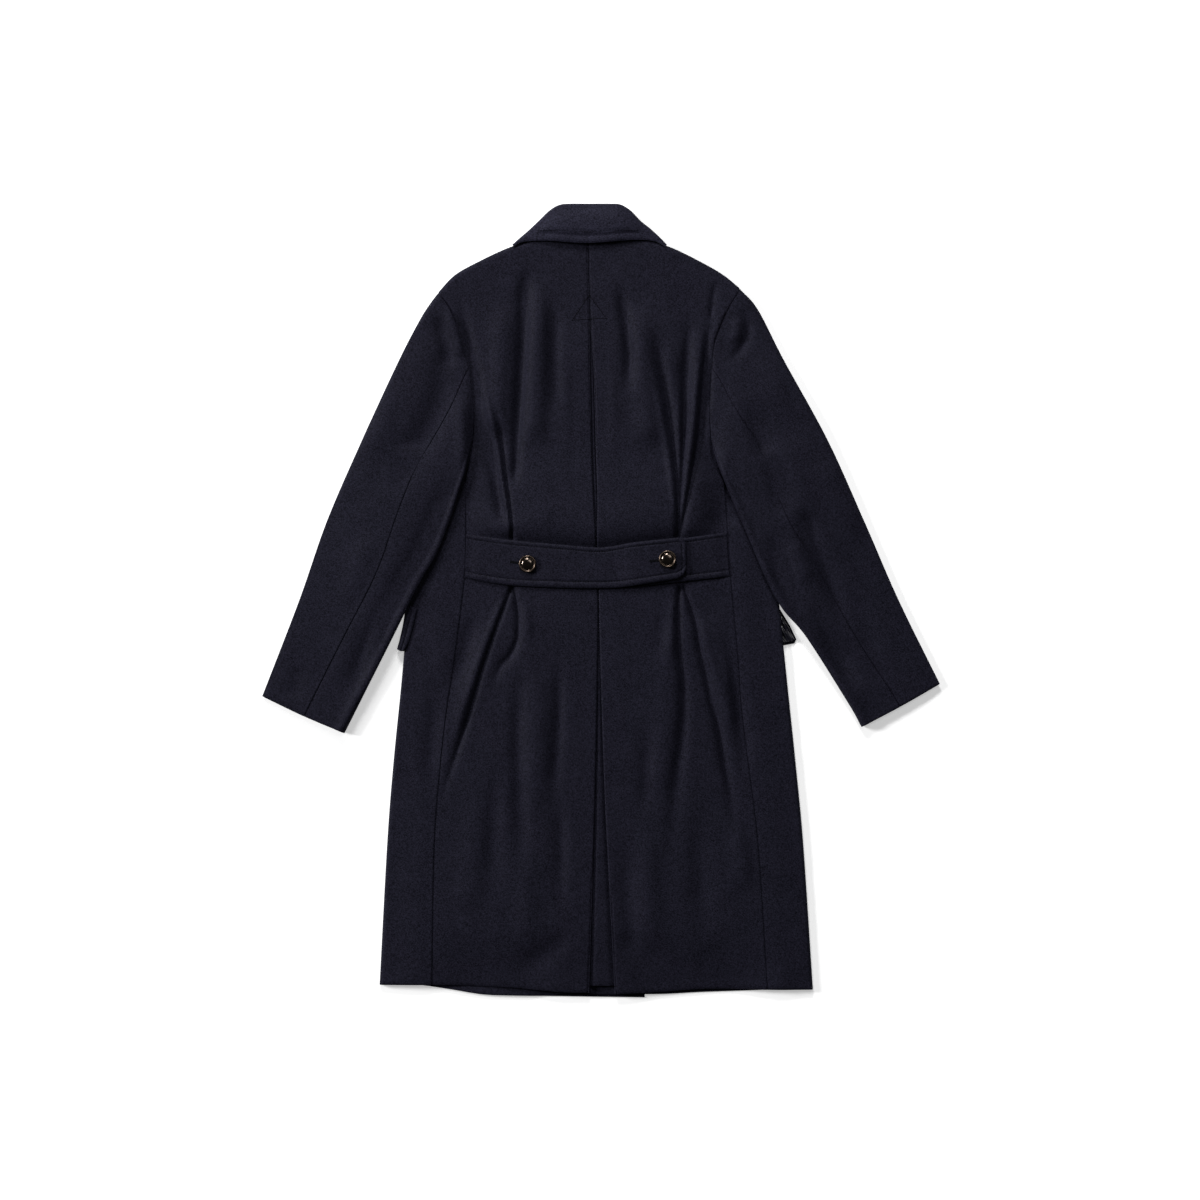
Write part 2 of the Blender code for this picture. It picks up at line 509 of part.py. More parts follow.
def sleeve(side):
    top_rows, under_rows = [], []
    for v in SLEEVE_ROWS:
        section = np.array([sleeve_plan(side, share, v) for share in np.linspace(0, 1, 25)])
        width = path_length(section)
        seam = width * sleeve_seam_share(side, v)
        joined = smooth_step(v / 0.14)
        up = math.pi / 2

        def point(distance, angle):
            x, y = sleeve_plan(side, distance / width, v)
            low = sleeve_low(side, x, y)
            high = back_height(x, y) * (1 - joined) + (low + SLEEVE_LOFT) * joined
            return x, y, rolled(low, high, angle)

        def turn(angle):
            return CLOTH / 2 + EDGE_RADIUS * (1 - math.cos(angle))

        outer = np.linspace(turn(up), seam - SEAM_GAP, OUTER_SLEEVE_STEPS + 1)
        inner = np.linspace(seam + SEAM_GAP, width - turn(up), INNER_SLEEVE_STEPS + 1)
        row = [point(d, up) for d in outer[::-1]]
        row += [point(turn(a), a) for a in (math.pi / 4, 0.30, -0.30, -math.pi / 4)]
        row += [point(d, -up) for d in outer] + [point(inner[1] - 2 * SEAM_GAP, -up)]
        top_rows.append(row)
        row = [point(d, up) for d in inner]
        row += [point(width - turn(a), a) for a in (math.pi / 4, 0, -math.pi / 4)]
        row += [point(d, -up) for d in inner[:0:-1]]
        under_rows.append(row)
    sheet("top_sleeve_" + side.name, top_rows)
    sheet("under_sleeve_" + side.name, under_rows)


def collar():
    """The fall rolls over at the top of the coat, and at the sides onto the floor; the stand runs to the neck seam."""
    where = np.linspace(0, 1, COLLAR_STEPS + 1)
    roll, edge, seam = (along(smooth_path(points), where) for points in (COLLAR_ROLL, COLLAR_EDGE, COLLAR_SEAM))
    tangent = np.gradient(roll, axis=0)
    inward = np.column_stack([tangent[:, 1], -tangent[:, 0]])
    inward /= np.linalg.norm(inward, axis=1)[:, None]
    fall, stand = [], []
    for index in range(len(where)):
        centre = smooth_step((0.095 - abs(roll[index][0] - COLLAR_CENTRE_X)) / 0.055)
        seam_centre = smooth_step((0.085 - abs(seam[index][0] - COLLAR_CENTRE_X)) / 0.045)
        edge_high = 0.0150 + 0.0035 * centre
        high = 0.0145 + 0.0015 * centre
        low = CLOTH / 2 + 0.0005 + 0.0085 * centre
        radius = min((high - low) / 2, 0.5 * float(np.linalg.norm(edge[index] - roll[index])))
        start = roll[index] + inward[index] * radius
        column = [(*(edge[index] + (start - edge[index]) * share), edge_high + (high - edge_high) * share)
                  for share in (0, 0.33, 0.67, 1)]
        for angle in (math.pi / 4, 0, -math.pi / 4, -1.45):
            x, y = roll[index] + inward[index] * radius * (1 - math.cos(angle))
            column.append((x, y, rolled(low, high, angle)))
        fall.append(column)
        seam_low = CLOTH / 2 + 0.0005 + 0.0075 * seam_centre
        under = start + inward[index] * SEAM_GAP * 3
        stand.append([(*(under + (seam[index] - under) * share), low + (seam_low - low) * share)
                      for share in (0, 0.33, 0.67, 1)])
    sheet("collar_fall", fall, thickness=CLOTH)
    sheet("collar_stand", stand)


def belt_height(x, y, short):
    """The belt on the back; its lower edge stands off, and the long piece laps over the short one."""
    top, bottom = BELT_EDGES["top"], BELT_EDGES["bottom"]
    up = (y - y_at(bottom, x)) / (y_at(top, x) - y_at(bottom, x))
    base = back_height(x, BELT_Y) + CLOTH / 2 + LAYER_GAP + DOUBLE_CLOTH / 2
    if short:
        return base
    lap = smooth_step((x - SHORT_BELT_START_X + 0.045) / 0.035)
    return base + lap * (DOUBLE_CLOTH + LAYER_GAP) + BELT_STAND_OFF * (1 - up) * smooth_step((x + 0.19) / 0.06)


def half_belt():
    top, bottom = BELT_EDGES["top"], BELT_EDGES["bottom"]
    long_x = list(np.linspace(0, BELT_END_X - BELT_END_ROUND, 18))
    rows = []
    for index, share_x in enumerate(long_x):
        line = []
        for up in np.linspace(0, 1, 5):
            first = bottom[0] + (top[0] - bottom[0]) * up
            x = first[0] + SEAM_GAP + (BELT_END_X - BELT_END_ROUND - first[0] - SEAM_GAP) * index / (len(long_x) - 1)
            y = y_at(bottom, x) + (y_at(top, x) - y_at(bottom, x)) * up
            line.append((x, y, belt_height(x, y, False)))
        rows.append(line)
    for angle in (0.35, 0.7, 1.05, 1.4):
        x = BELT_END_X - BELT_END_ROUND * (1 - math.sin(angle))
        inset = BELT_END_ROUND * (1 - math.cos(angle))
        heights = np.linspace(y_at(bottom, x) + inset, y_at(top, x) - inset, 5)
        rows.append([(x, y, belt_height(x, y, False)) for y in heights])
    sheet("half_belt_long", rows, thickness=DOUBLE_CLOTH)

    seam = CURVES["right"]["seam"]
    rows = []
    for share in np.linspace(0, 1, 9):
        line = []
        for up in np.linspace(0, 1, 5):
            low_y, high_y = 0.022 + 0.014 * share, 0.083 + 0.017 * share
            y = low_y + (high_y - low_y) * up
            x = SHORT_BELT_START_X + (x_at(seam, y) - SEAM_GAP - SHORT_BELT_START_X) * share
            line.append((x, y, belt_height(x, y, True)))
        rows.append(line)
    sheet("half_belt_short", rows, thickness=DOUBLE_CLOTH)


def buttons():
    for name, (x, y) in BELT_BUTTONS.items():
        around = [(x + BUTTON_RADIUS * math.cos(a), y + BUTTON_RADIUS * math.sin(a)) for a in np.linspace(0, 6.2, 13)]
        seat = max(belt_height(px, py, False) for px, py in around) + DOUBLE_CLOTH / 2
        button("belt_button_" + name, x, y, seat + SEAM_GAP, steps=24)
    for column, x in FRONT_BUTTON_X.items():
        for row, y in FRONT_BUTTON_Y.items():
            button("front_button_" + row + "_" + column, x, y, 0, steps=12, height_share=0.8, face_down=True)


def pocket_flaps():
    rows = []
    for (edge_x, y), (end_x, end_y) in zip(LEFT_FLAP_EDGE, LEFT_FLAP_TOP_END):
        low = CLOTH / 2
        high = BODY_TOP + CLOTH + LAYER_GAP
        radius = (high - low) / 2 - 0.001
        start_x = min(edge_x + radius, end_x - 0.001)
        row = [(end_x + (start_x - end_x) * share, end_y + (y - end_y) * share, high) for share in (0, 0.5, 1)]
        for angle in (math.pi / 4, 0, -math.pi / 4):
            row.append((edge_x + radius * (1 - math.cos(angle)), y, rolled(low, high, angle)))
        row += [(edge_x + radius + LEFT_FLAP_LENGTH * share, y, low) for share in (0, 0.33, 0.67, 1)]
        rows.append(row)
    sheet("pocket_flap_left", rows)
    flat_piece("pocket_flap_right", RIGHT_FLAP, 0, CLOTH)
    flat_piece("flap_lining_right", RIGHT_FLAP_LINING, CLOTH + SEAM_GAP, SATIN, SATIN_FINISH)


back_panel(LEFT)
back_panel(RIGHT)
pleat_underlay()
front_panel(LEFT, inner=False)
front_panel(RIGHT, inner=True)
sleeve(LEFT)
sleeve(RIGHT)
collar()
for lapel_side, lapel_outline in LAPELS.items():
    flat_piece("lapel_" + lapel_side, lapel_outline, 0, DOUBLE_CLOTH)
half_belt()
buttons()
pocket_flaps()
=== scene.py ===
# %% [markdown]
# A long double-breasted wool coat lies flat, face down, and is seen from straight above. This lesson
# dresses its solid model with thin cloth. First comes the fixed frame that everything is placed in, in
# metres: the floor is z = 0, +Y runs from hem to collar, and the wearer's left is at -X. Each solid of
# cloth is then replaced by a finer sheet of the same form, so the camera and the sizes never have to be
# fitted again.

# %% The frame
import math
from collections import namedtuple

import bmesh
import bpy
import numpy as np
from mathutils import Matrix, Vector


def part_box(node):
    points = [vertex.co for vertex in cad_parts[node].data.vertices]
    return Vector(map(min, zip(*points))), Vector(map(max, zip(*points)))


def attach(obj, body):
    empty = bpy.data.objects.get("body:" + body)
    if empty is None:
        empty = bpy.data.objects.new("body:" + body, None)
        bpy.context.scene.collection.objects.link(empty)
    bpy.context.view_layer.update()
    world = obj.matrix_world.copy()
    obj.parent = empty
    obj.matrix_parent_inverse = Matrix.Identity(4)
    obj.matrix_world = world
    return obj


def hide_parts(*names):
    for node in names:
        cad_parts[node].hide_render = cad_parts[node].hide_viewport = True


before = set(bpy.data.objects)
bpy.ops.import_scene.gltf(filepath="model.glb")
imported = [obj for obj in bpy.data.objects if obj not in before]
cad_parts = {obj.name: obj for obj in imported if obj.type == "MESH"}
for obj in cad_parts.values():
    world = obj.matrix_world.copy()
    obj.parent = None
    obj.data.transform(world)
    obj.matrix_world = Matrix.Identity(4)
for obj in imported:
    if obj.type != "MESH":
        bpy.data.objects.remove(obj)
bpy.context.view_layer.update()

# %% [markdown]
# The camera comes before any cloth, because every later choice is judged through it. The coat was
# photographed square on, so the camera looks straight down with its top towards the collar. A long lens
# from four metres keeps the edges of the coat nearly free of perspective, as in a catalogue picture.

# %% Camera
FRAME_WIDTH = 1.752
LENS = 85.0
SENSOR = 36.0
PICTURE_MIDDLE = (-0.0015, 0.0015)
COAT_MIDDLE_Z = 0.012

lens = bpy.data.cameras.new("studio_camera")
lens.lens = LENS
lens.sensor_width = SENSOR
camera = bpy.data.objects.new("studio_camera", lens)
camera.location = (*PICTURE_MIDDLE, FRAME_WIDTH * LENS / SENSOR + COAT_MIDDLE_Z)
bpy.context.collection.objects.link(camera)
bpy.context.scene.camera = camera
print("camera", round(camera.location.z, 2), "m above the floor")

# %% [markdown]
# The light is that of a product table. A low, far source at the left draws the folds that run down the
# coat, and a nearer one beyond the collar leaves the shoulders brightest and puts the dark lines under
# collar and belt. A weak panel high up gives the buttons something to shine with. The floor glows a
# little, as a lit table does.

# %% Light and floor
def set_inputs(node, values):
    for name, value in values.items():
        node.inputs[name].default_value = value


def soft_light(name, place, size, power):
    lamp = bpy.data.lights.new(name, "AREA")
    lamp.shape = "SQUARE"
    lamp.size = size
    lamp.energy = power
    light = bpy.data.objects.new(name, lamp)
    light.location = place
    gaze = -np.array(place)
    level = math.hypot(gaze[0], gaze[1])
    light.rotation_euler = (math.atan2(level, -gaze[2]), 0, math.atan2(-gaze[0], gaze[1]))
    bpy.context.collection.objects.link(light)


soft_light("light_left", (-8.0, 2.35, 3.9), 2.4, 1000)
soft_light("light_collar", (-0.7, 4.6, 2.75), 1.45, 250)
soft_light("light_above", (1.6, 2.2, 5.0), 2.0, 38)

world = bpy.data.worlds.new("studio")
world.use_nodes = True
set_inputs(world.node_tree.nodes["Background"], {"Color": (0.94, 0.96, 1.0, 1), "Strength": 0.03})
bpy.context.scene.world = world
bpy.context.scene.view_settings.view_transform = "Standard"

bpy.ops.mesh.primitive_plane_add(size=9)
floor = bpy.context.object
floor.name = "floor"
pale = bpy.data.materials.new("pale_floor")
pale.use_nodes = True
set_inputs(pale.node_tree.nodes["Principled BSDF"], {
    "Base Color": (0.82, 0.82, 0.82, 1), "Roughness": 0.9, "Specular IOR Level": 0.1,
    "Emission Color": (1, 1, 1, 1), "Emission Strength": 0.45})
floor.data.materials.append(pale)
print("three soft lights, a faint sky and a pale floor")

# %% [markdown]
# A coat is drawn as a tailor draws it, by its seams and edges. Each side of the coat gets the same named
# lines, in plan: neck, shoulder, armhole, side seam, the outer edge where the front wraps round, the fold
# of the pleat, both hems, and the four lines of the sleeve. The two sides differ, because the coat was
# laid down by hand.

# %% The seams of both sides
NECK_Y = 0.531
UNDERARM_Y = 0.171
SEAM_TOP_Y = 0.174
BREAK_Y = 0.191
PLEAT_TOP_Y = 0.410
LAP_TOP_Y = 0.370
BELT_Y = 0.058
HEM_Y = -0.570
LEVEL_TO_Y = -0.41

Side = namedtuple("Side", "name sign front_edge lines")
LEFT = Side("left", 1, 0.064, {
    "neck": [(-0.101, 0.526), (-0.060, 0.530), (-0.020, NECK_Y)],
    "shoulder": [(-0.238, 0.450), (-0.213, 0.476), (-0.177, 0.496), (-0.136, 0.515), (-0.101, 0.526)],
    "armhole": [(-0.238, 0.450), (-0.222, 0.428), (-0.210, 0.399), (-0.199, 0.366), (-0.193, 0.337),
                (-0.188, 0.301), (-0.185, 0.264), (-0.186, 0.235)],
    "underarm": [(-0.186, 0.235), (-0.188, 0.212), (-0.193, 0.191), (-0.199, SEAM_TOP_Y)],
    "seam": [(-0.199, SEAM_TOP_Y), (-0.198, 0.096), (-0.200, 0.034), (-0.215, -0.086), (-0.225, -0.152),
             (-0.235, -0.239), (-0.244, -0.356), (-0.248, -0.561)],
    "edge": [(-0.272, UNDERARM_Y), (-0.277, 0.096), (-0.281, 0.034), (-0.289, -0.086), (-0.304, -0.239),
             (-0.313, -0.356), (-0.324, -0.561)],
    "pleat": [(-0.0195, NECK_Y), (-0.0162, 0.410), (-0.0154, 0.333), (-0.0135, 0.231), (-0.0102, 0.142),
              (-0.0067, 0.085), (-0.0042, 0.010), (-0.0044, -0.072), (-0.0085, -0.291), (-0.0167, -0.572)],
    "back_hem": [(-0.248, -0.561), (-0.147, -0.564), (-0.058, -0.571), (-0.0167, -0.572)],
    "front_hem": [(-0.324, -0.561), (-0.273, -0.561), (-0.220, -0.568), (-0.177, -0.575), (-0.137, -0.577),
                  (0.064, -0.580)],
    "sleeve_outer": [(-0.238, 0.450), (-0.250, 0.434), (-0.265, 0.410), (-0.295, 0.352), (-0.349, 0.235),
                     (-0.400, 0.118), (-0.441, 0.001), (-0.495, -0.139)],
    "sleeve_inner": [(-0.186, 0.235), (-0.200, 0.172), (-0.234, 0.079), (-0.266, 0.022), (-0.3092, -0.065),
                     (-0.374, -0.193)],
    "sleeve_seam": [(-0.194, 0.343), (-0.219, 0.285), (-0.251, 0.228), (-0.273, 0.190), (-0.297, 0.131),
                    (-0.325, 0.047), (-0.375, -0.050), (-0.434, -0.167)],
    "cuff": [(-0.495, -0.139), (-0.434, -0.168), (-0.374, -0.193)],
})
RIGHT = Side("right", -1, -0.067, {
    "neck": [(0.069, 0.526), (0.022, 0.530), (-0.019, NECK_Y)],
    "shoulder": [(0.203, 0.456), (0.178, 0.476), (0.145, 0.495), (0.104, 0.515), (0.069, 0.526)],
    "armhole": [(0.203, 0.456), (0.187, 0.432), (0.174, 0.403), (0.164, 0.374), (0.161, 0.337),
                (0.159, 0.301), (0.158, 0.264), (0.159, 0.235)],
    "underarm": [(0.159, 0.235), (0.161, 0.212), (0.169, 0.191), (0.180, SEAM_TOP_Y)],
    "seam": [(0.180, SEAM_TOP_Y), (0.184, 0.096), (0.188, 0.034), (0.199, -0.086), (0.204, -0.152),
             (0.214, -0.239), (0.228, -0.356), (0.242, -0.568)],
    "edge": [(0.245, UNDERARM_Y), (0.251, 0.096), (0.257, 0.034), (0.269, -0.086), (0.285, -0.239),
             (0.296, -0.356), (0.310, -0.566)],
    "pleat": [(-0.0189, NECK_Y), (-0.0156, 0.410), (-0.0108, 0.333), (-0.0080, 0.231), (-0.0056, 0.142),
              (-0.0061, 0.085), (-0.0036, 0.010), (-0.0016, -0.072), (0.0055, -0.291), (0.0201, -0.574)],
    "back_hem": [(0.242, -0.568), (0.153, -0.567), (0.072, -0.572), (0.0201, -0.574)],
    "front_hem": [(0.310, -0.566), (0.238, -0.569), (0.150, -0.572), (0.080, -0.575), (-0.067, -0.575)],
    "sleeve_outer": [(0.203, 0.456), (0.229, 0.426), (0.267, 0.352), (0.331, 0.235), (0.384, 0.118),
                     (0.435, 0.001), (0.495, -0.121)],
    "sleeve_inner": [(0.159, 0.235), (0.174, 0.185), (0.214, 0.091), (0.258, -0.002), (0.299, -0.053),
                     (0.361, -0.150), (0.380, -0.184)],
    "sleeve_seam": [(0.162, 0.342), (0.200, 0.273), (0.234, 0.222), (0.254, 0.169), (0.271, 0.117),
                    (0.305, 0.066), (0.361, -0.036), (0.399, -0.096), (0.437, -0.154)],
    "cuff": [(0.495, -0.121), (0.437, -0.154), (0.380, -0.184)],
})
SIDES = (LEFT, RIGHT)
print("seam lines:", ", ".join(LEFT.lines))

# %% [markdown]
# A seam is a smooth curve through a few points. Blender has curve objects, but the panels between the
# seams need the same curves as plain numbers, so a small spline is written here. The helpers read a curve
# at a share of its length, or at a given height or width. The last ones shape heights: a step, a bump,
# and a height that eases off before it sinks below another.

# %% Curves through the seam points
def lengths_along(path):
    return np.concatenate([[0], np.cumsum(np.linalg.norm(np.diff(path, axis=0), axis=1))])


def at_lengths(path, where):
    length = lengths_along(path)
    return np.column_stack([np.interp(where, length, path[:, k]) for k in range(2)])


def evened(points, count=200):
    corners = np.array(points, float)
    return at_lengths(corners, np.linspace(0, lengths_along(corners)[-1], count))


def smooth_path(points, count=400):
    knots = np.array(points, dtype=float)
    padded = np.vstack([2 * knots[0] - knots[1], knots, 2 * knots[-1] - knots[-2]])
    t = np.linspace(0, 1, 60, endpoint=False)[:, None]
    runs = []
    for a, b, c, d in zip(padded, padded[1:], padded[2:], padded[3:]):
        squared, cubed = 2 * a - 5 * b + 4 * c - d, 3 * b - a - 3 * c + d
        runs.append((2 * b + (c - a) * t + squared * t ** 2 + cubed * t ** 3) / 2)
    return evened(np.vstack(runs + [knots[-1:]]), count)


def along(path, shares):
    where = np.linspace(0, 1, len(path))
    return np.stack([np.interp(shares, where, path[:, k]) for k in range(path.shape[1])], axis=-1)


def path_length(path):
    return float(np.sum(np.linalg.norm(np.diff(path, axis=0), axis=1)))


def x_at(path, y):
    return np.interp(-np.asarray(y), -path[:, 1], path[:, 0])


def y_at(path, x):
    return np.interp(x, path[:, 0], path[:, 1])


def smooth_step(value):
    t = np.clip(value, 0.0, 1.0)
    return t * t * (3 - 2 * t)


def bump(distance, width):
    return np.exp(-(distance / width) ** 2)


def held_above(height, lowest, ease):
    spare = height - lowest
    return lowest + 0.5 * (spare + np.sqrt(spare ** 2 + ease ** 2))


def plan_with(x, y, z):
    return np.stack([x, y, z], axis=-1)


CURVES = {side.name: {line: smooth_path(points) for line, points in side.lines.items()} for side in SIDES}
BACK_SIDES = {name: np.vstack([c["armhole"], c["underarm"][1:], c["seam"][1:]])
              for name, c in CURVES.items()}
print("left sleeve, outer edge:", round(path_length(CURVES["left"]["sleeve_outer"]), 3), "m")

# %% [markdown]
# The half belt crosses the back, and cloth lies calm beneath it, so its edges are needed before the
# heights. Then come the levels of the layers: the fronts lie on the floor, propped up a little where
# lapels, buttons and flaps are under them, and the back lies over them with a low crown.

# %% Levels of the layers
CLOTH = 0.002
DOUBLE_CLOTH = 0.003
SEAM_GAP = 0.0003
LAYER_GAP = 0.0005
EDGE_RADIUS = 0.005
PLEAT_RADIUS = 0.00125
BODY_TOP = 0.011
BODY_CROWN = 0.0045
SLEEVE_LOFT = 0.010
SLEEVE_LIFT = 0.0126
CENTRE_X = -0.018
EDGE_SOFT = 0.002
HEM_TURN = 0.0009
CUFF_TURN = 0.0008
PROP_MARGIN = 0.020
PROP_RAMP = 0.040
BELT_END_DIP = 0.0022

BELT_TOP = smooth_path([(-0.1970, 0.097), (-0.130, 0.088), (-0.063, 0.082), (-0.001, 0.0775),
                        (0.050, 0.085), (0.124, 0.093)])
BELT_BOTTOM = smooth_path([(-0.1990, 0.034), (-0.137, 0.024), (-0.062, 0.020), (-0.001, 0.019),
                           (0.040, 0.022), (0.124, 0.035)])
PROPS = [(-0.155, 0.142, -0.140, 0.560, 0.0038), (-0.300, -0.170, -0.080, -0.005, 0.0030),
         (0.150, 0.300, -0.075, -0.005, 0.0038)]


def floor_lift(x, y):
    height = np.zeros(np.shape(x))
    for x0, x1, y0, y1, rise in PROPS:
        aside = np.maximum.reduce([x0 - x, x - x1, 0 * x])
        beyond = np.maximum.reduce([y0 - y, y - y1, 0 * y])
        away = np.hypot(aside, beyond)
        height = np.maximum(height, rise * (1 - smooth_step((away - PROP_MARGIN) / PROP_RAMP)))
    return height


def front_height(x, y, inner):
    lap = 0
    if inner:
        lap = 1 - smooth_step((x - LEFT.front_edge - PROP_MARGIN) / PROP_RAMP)
        lap = lap * (1 - smooth_step((y - LAP_TOP_Y) / PROP_RAMP))
    return CLOTH / 2 + floor_lift(x, y) + lap * (CLOTH + LAYER_GAP)


def from_side(x, y):
    return np.minimum(x - x_at(BACK_SIDES["left"], y), x_at(BACK_SIDES["right"], y) - x)


def from_belt(x, y):
    return np.abs(y - (y_at(BELT_TOP, x) + y_at(BELT_BOTTOM, x)) / 2)


def belt_end_dip(from_end):
    return BELT_END_DIP * (1 - smooth_step((from_end - 0.002) / 0.020))


print("belt height at the middle:", round(float(y_at(BELT_TOP, 0) - y_at(BELT_BOTTOM, 0)), 4), "m")

# %% [markdown]
# Heavy wool falls in folds that start at the tucks of the belt, the shoulders and the armholes. Simulated
# cloth would fold where it likes, so these folds are listed one by one: each is a soft line with a half
# width at both ends and a height, below zero for a trough. The broad ones follow the same lines as in the
# solid model, most of them lower, and the creases after them are the finer relief.

# %% Folds of the back
Crease = namedtuple("Crease", "line widths height fades", defaults=[(0.25, 0.15)])
CREASE_POINTS = 28
BROAD_FOLDS = [
    Crease([(-0.088, 0.476), (-0.093, 0.366), (-0.099, 0.220)], (0.016, 0.016), 0.0040),
    Crease([(-0.172, 0.314), (-0.152, 0.220), (-0.131, 0.096)], (0.009, 0.008), 0.0018),
    Crease([(-0.143, 0.440), (-0.147, 0.337), (-0.152, 0.235)], (0.016, 0.016), 0.0035),
    Crease([(0.057, 0.440), (0.064, 0.323), (0.074, 0.220)], (0.018, 0.018), 0.0035),
    Crease([(0.098, 0.396), (0.107, 0.250), (0.110, 0.147)], (0.011, 0.011), 0.0018),
    Crease([(0.142, 0.409), (0.134, 0.264), (0.115, 0.118)], (0.009, 0.008), 0.0026),
    Crease([(-0.143, 0.001), (-0.177, -0.086), (-0.218, -0.188)], (0.017, 0.017), 0.0018),
    Crease([(-0.112, 0.001), (-0.107, -0.115), (-0.118, -0.291)], (0.020, 0.020), 0.0010),
    Crease([(0.104, 0.001), (0.098, -0.145), (0.086, -0.291)], (0.020, 0.020), 0.0018),
    Crease([(0.145, -0.013), (0.177, -0.101), (0.206, -0.188)], (0.016, 0.016), 0.0028),
]
UPPER_CREASES = [
    Crease([(-0.106, 0.492), (-0.111, 0.444), (-0.113, 0.387), (-0.117, 0.330), (-0.122, 0.250),
            (-0.126, 0.160)], (0.0100, 0.0065), -0.0082, (0.15, 0.12)),
    Crease([(-0.061, 0.454), (-0.066, 0.403), (-0.068, 0.346), (-0.066, 0.314), (-0.070, 0.257)],
           (0.010, 0.010), -0.0038, (0.35, 0.35)),
    Crease([(-0.209, 0.451), (-0.197, 0.399), (-0.190, 0.365), (-0.182, 0.326), (-0.180, 0.264),
            (-0.182, 0.209)], (0.007, 0.009), -0.0075, (0.35, 0.15)),
    Crease([(-0.1715, 0.343), (-0.168, 0.308), (-0.1594, 0.264), (-0.1518, 0.225), (-0.1455, 0.185),
            (-0.1395, 0.146), (-0.134, 0.115), (-0.132, 0.091)], (0.0042, 0.0032), 0.0038, (0.40, 0.05)),
    Crease([(-0.1565, 0.302), (-0.149, 0.260), (-0.1435, 0.220), (-0.1395, 0.181), (-0.1345, 0.148),
            (-0.1302, 0.104), (-0.129, 0.085)], (0.0042, 0.0030), -0.0055, (0.45, 0.02)),
    Crease([(-0.1720, 0.285), (-0.1590, 0.209), (-0.150, 0.155), (-0.140, 0.110)],
           (0.011, 0.008), -0.0074, (0.35, 0.20)),
    Crease([(0.026, 0.469), (0.034, 0.422), (0.039, 0.387), (0.042, 0.346), (0.038, 0.293)],
           (0.008, 0.010), -0.0075, (0.30, 0.40)),
    Crease([(0.066, 0.400), (0.080, 0.375), (0.088, 0.340), (0.0955, 0.299), (0.102, 0.253),
            (0.108, 0.203), (0.1115, 0.156), (0.1125, 0.085)], (0.010, 0.003), -0.0072, (0.30, 0.02)),
    Crease([(0.076, 0.352), (0.0855, 0.293), (0.095, 0.234), (0.104, 0.171), (0.109, 0.118)],
           (0.008, 0.004), 0.0034, (0.30, 0.15)),
    Crease([(0.1135, 0.330), (0.114, 0.264), (0.1145, 0.220), (0.1125, 0.150)],
           (0.0042, 0.0032), 0.0028, (0.40, 0.20)),
    Crease([(0.126, 0.442), (0.129, 0.403), (0.126, 0.358), (0.123, 0.302), (0.1205, 0.242),
            (0.1165, 0.160), (0.114, 0.115)], (0.009, 0.0030), -0.0070, (0.35, 0.20)),
    Crease([(0.1485, 0.428), (0.1465, 0.369), (0.1405, 0.317), (0.133, 0.242), (0.1245, 0.171),
            (0.116, 0.104)], (0.0060, 0.0036), 0.0032, (0.35, 0.10)),
    Crease([(0.159, 0.416), (0.1555, 0.369), (0.1515, 0.317), (0.147, 0.264), (0.143, 0.234),
            (0.133, 0.188), (0.1215, 0.130), (0.116, 0.090)], (0.0065, 0.0045), -0.0075, (0.25, 0.08)),
    Crease([(-0.038, 0.400), (-0.041, 0.290), (-0.042, 0.165)], (0.013, 0.014), 0.0026, (0.40, 0.40)),
    Crease([(0.008, 0.400), (0.012, 0.290), (0.013, 0.170)], (0.012, 0.014), 0.0024, (0.40, 0.40)),
    Crease([(0.158, 0.360), (0.158, 0.316), (0.158, 0.270)], (0.005, 0.005), -0.0040, (0.35, 0.35)),
    Crease([(0.168, 0.472), (0.164, 0.445), (0.159, 0.398)], (0.005, 0.004), -0.0040, (0.35, 0.35)),
    Crease([(0.162, 0.222), (0.180, 0.176), (0.198, 0.136)], (0.007, 0.006), -0.0050, (0.35, 0.20)),
    Crease([(-0.168, 0.290), (-0.150, 0.200), (-0.136, 0.105)], (0.030, 0.030), -0.0036, (0.35, 0.12)),
    Crease([(0.172, 0.260), (0.185, 0.170), (0.186, 0.100)], (0.028, 0.028), -0.0038, (0.35, 0.15)),
]
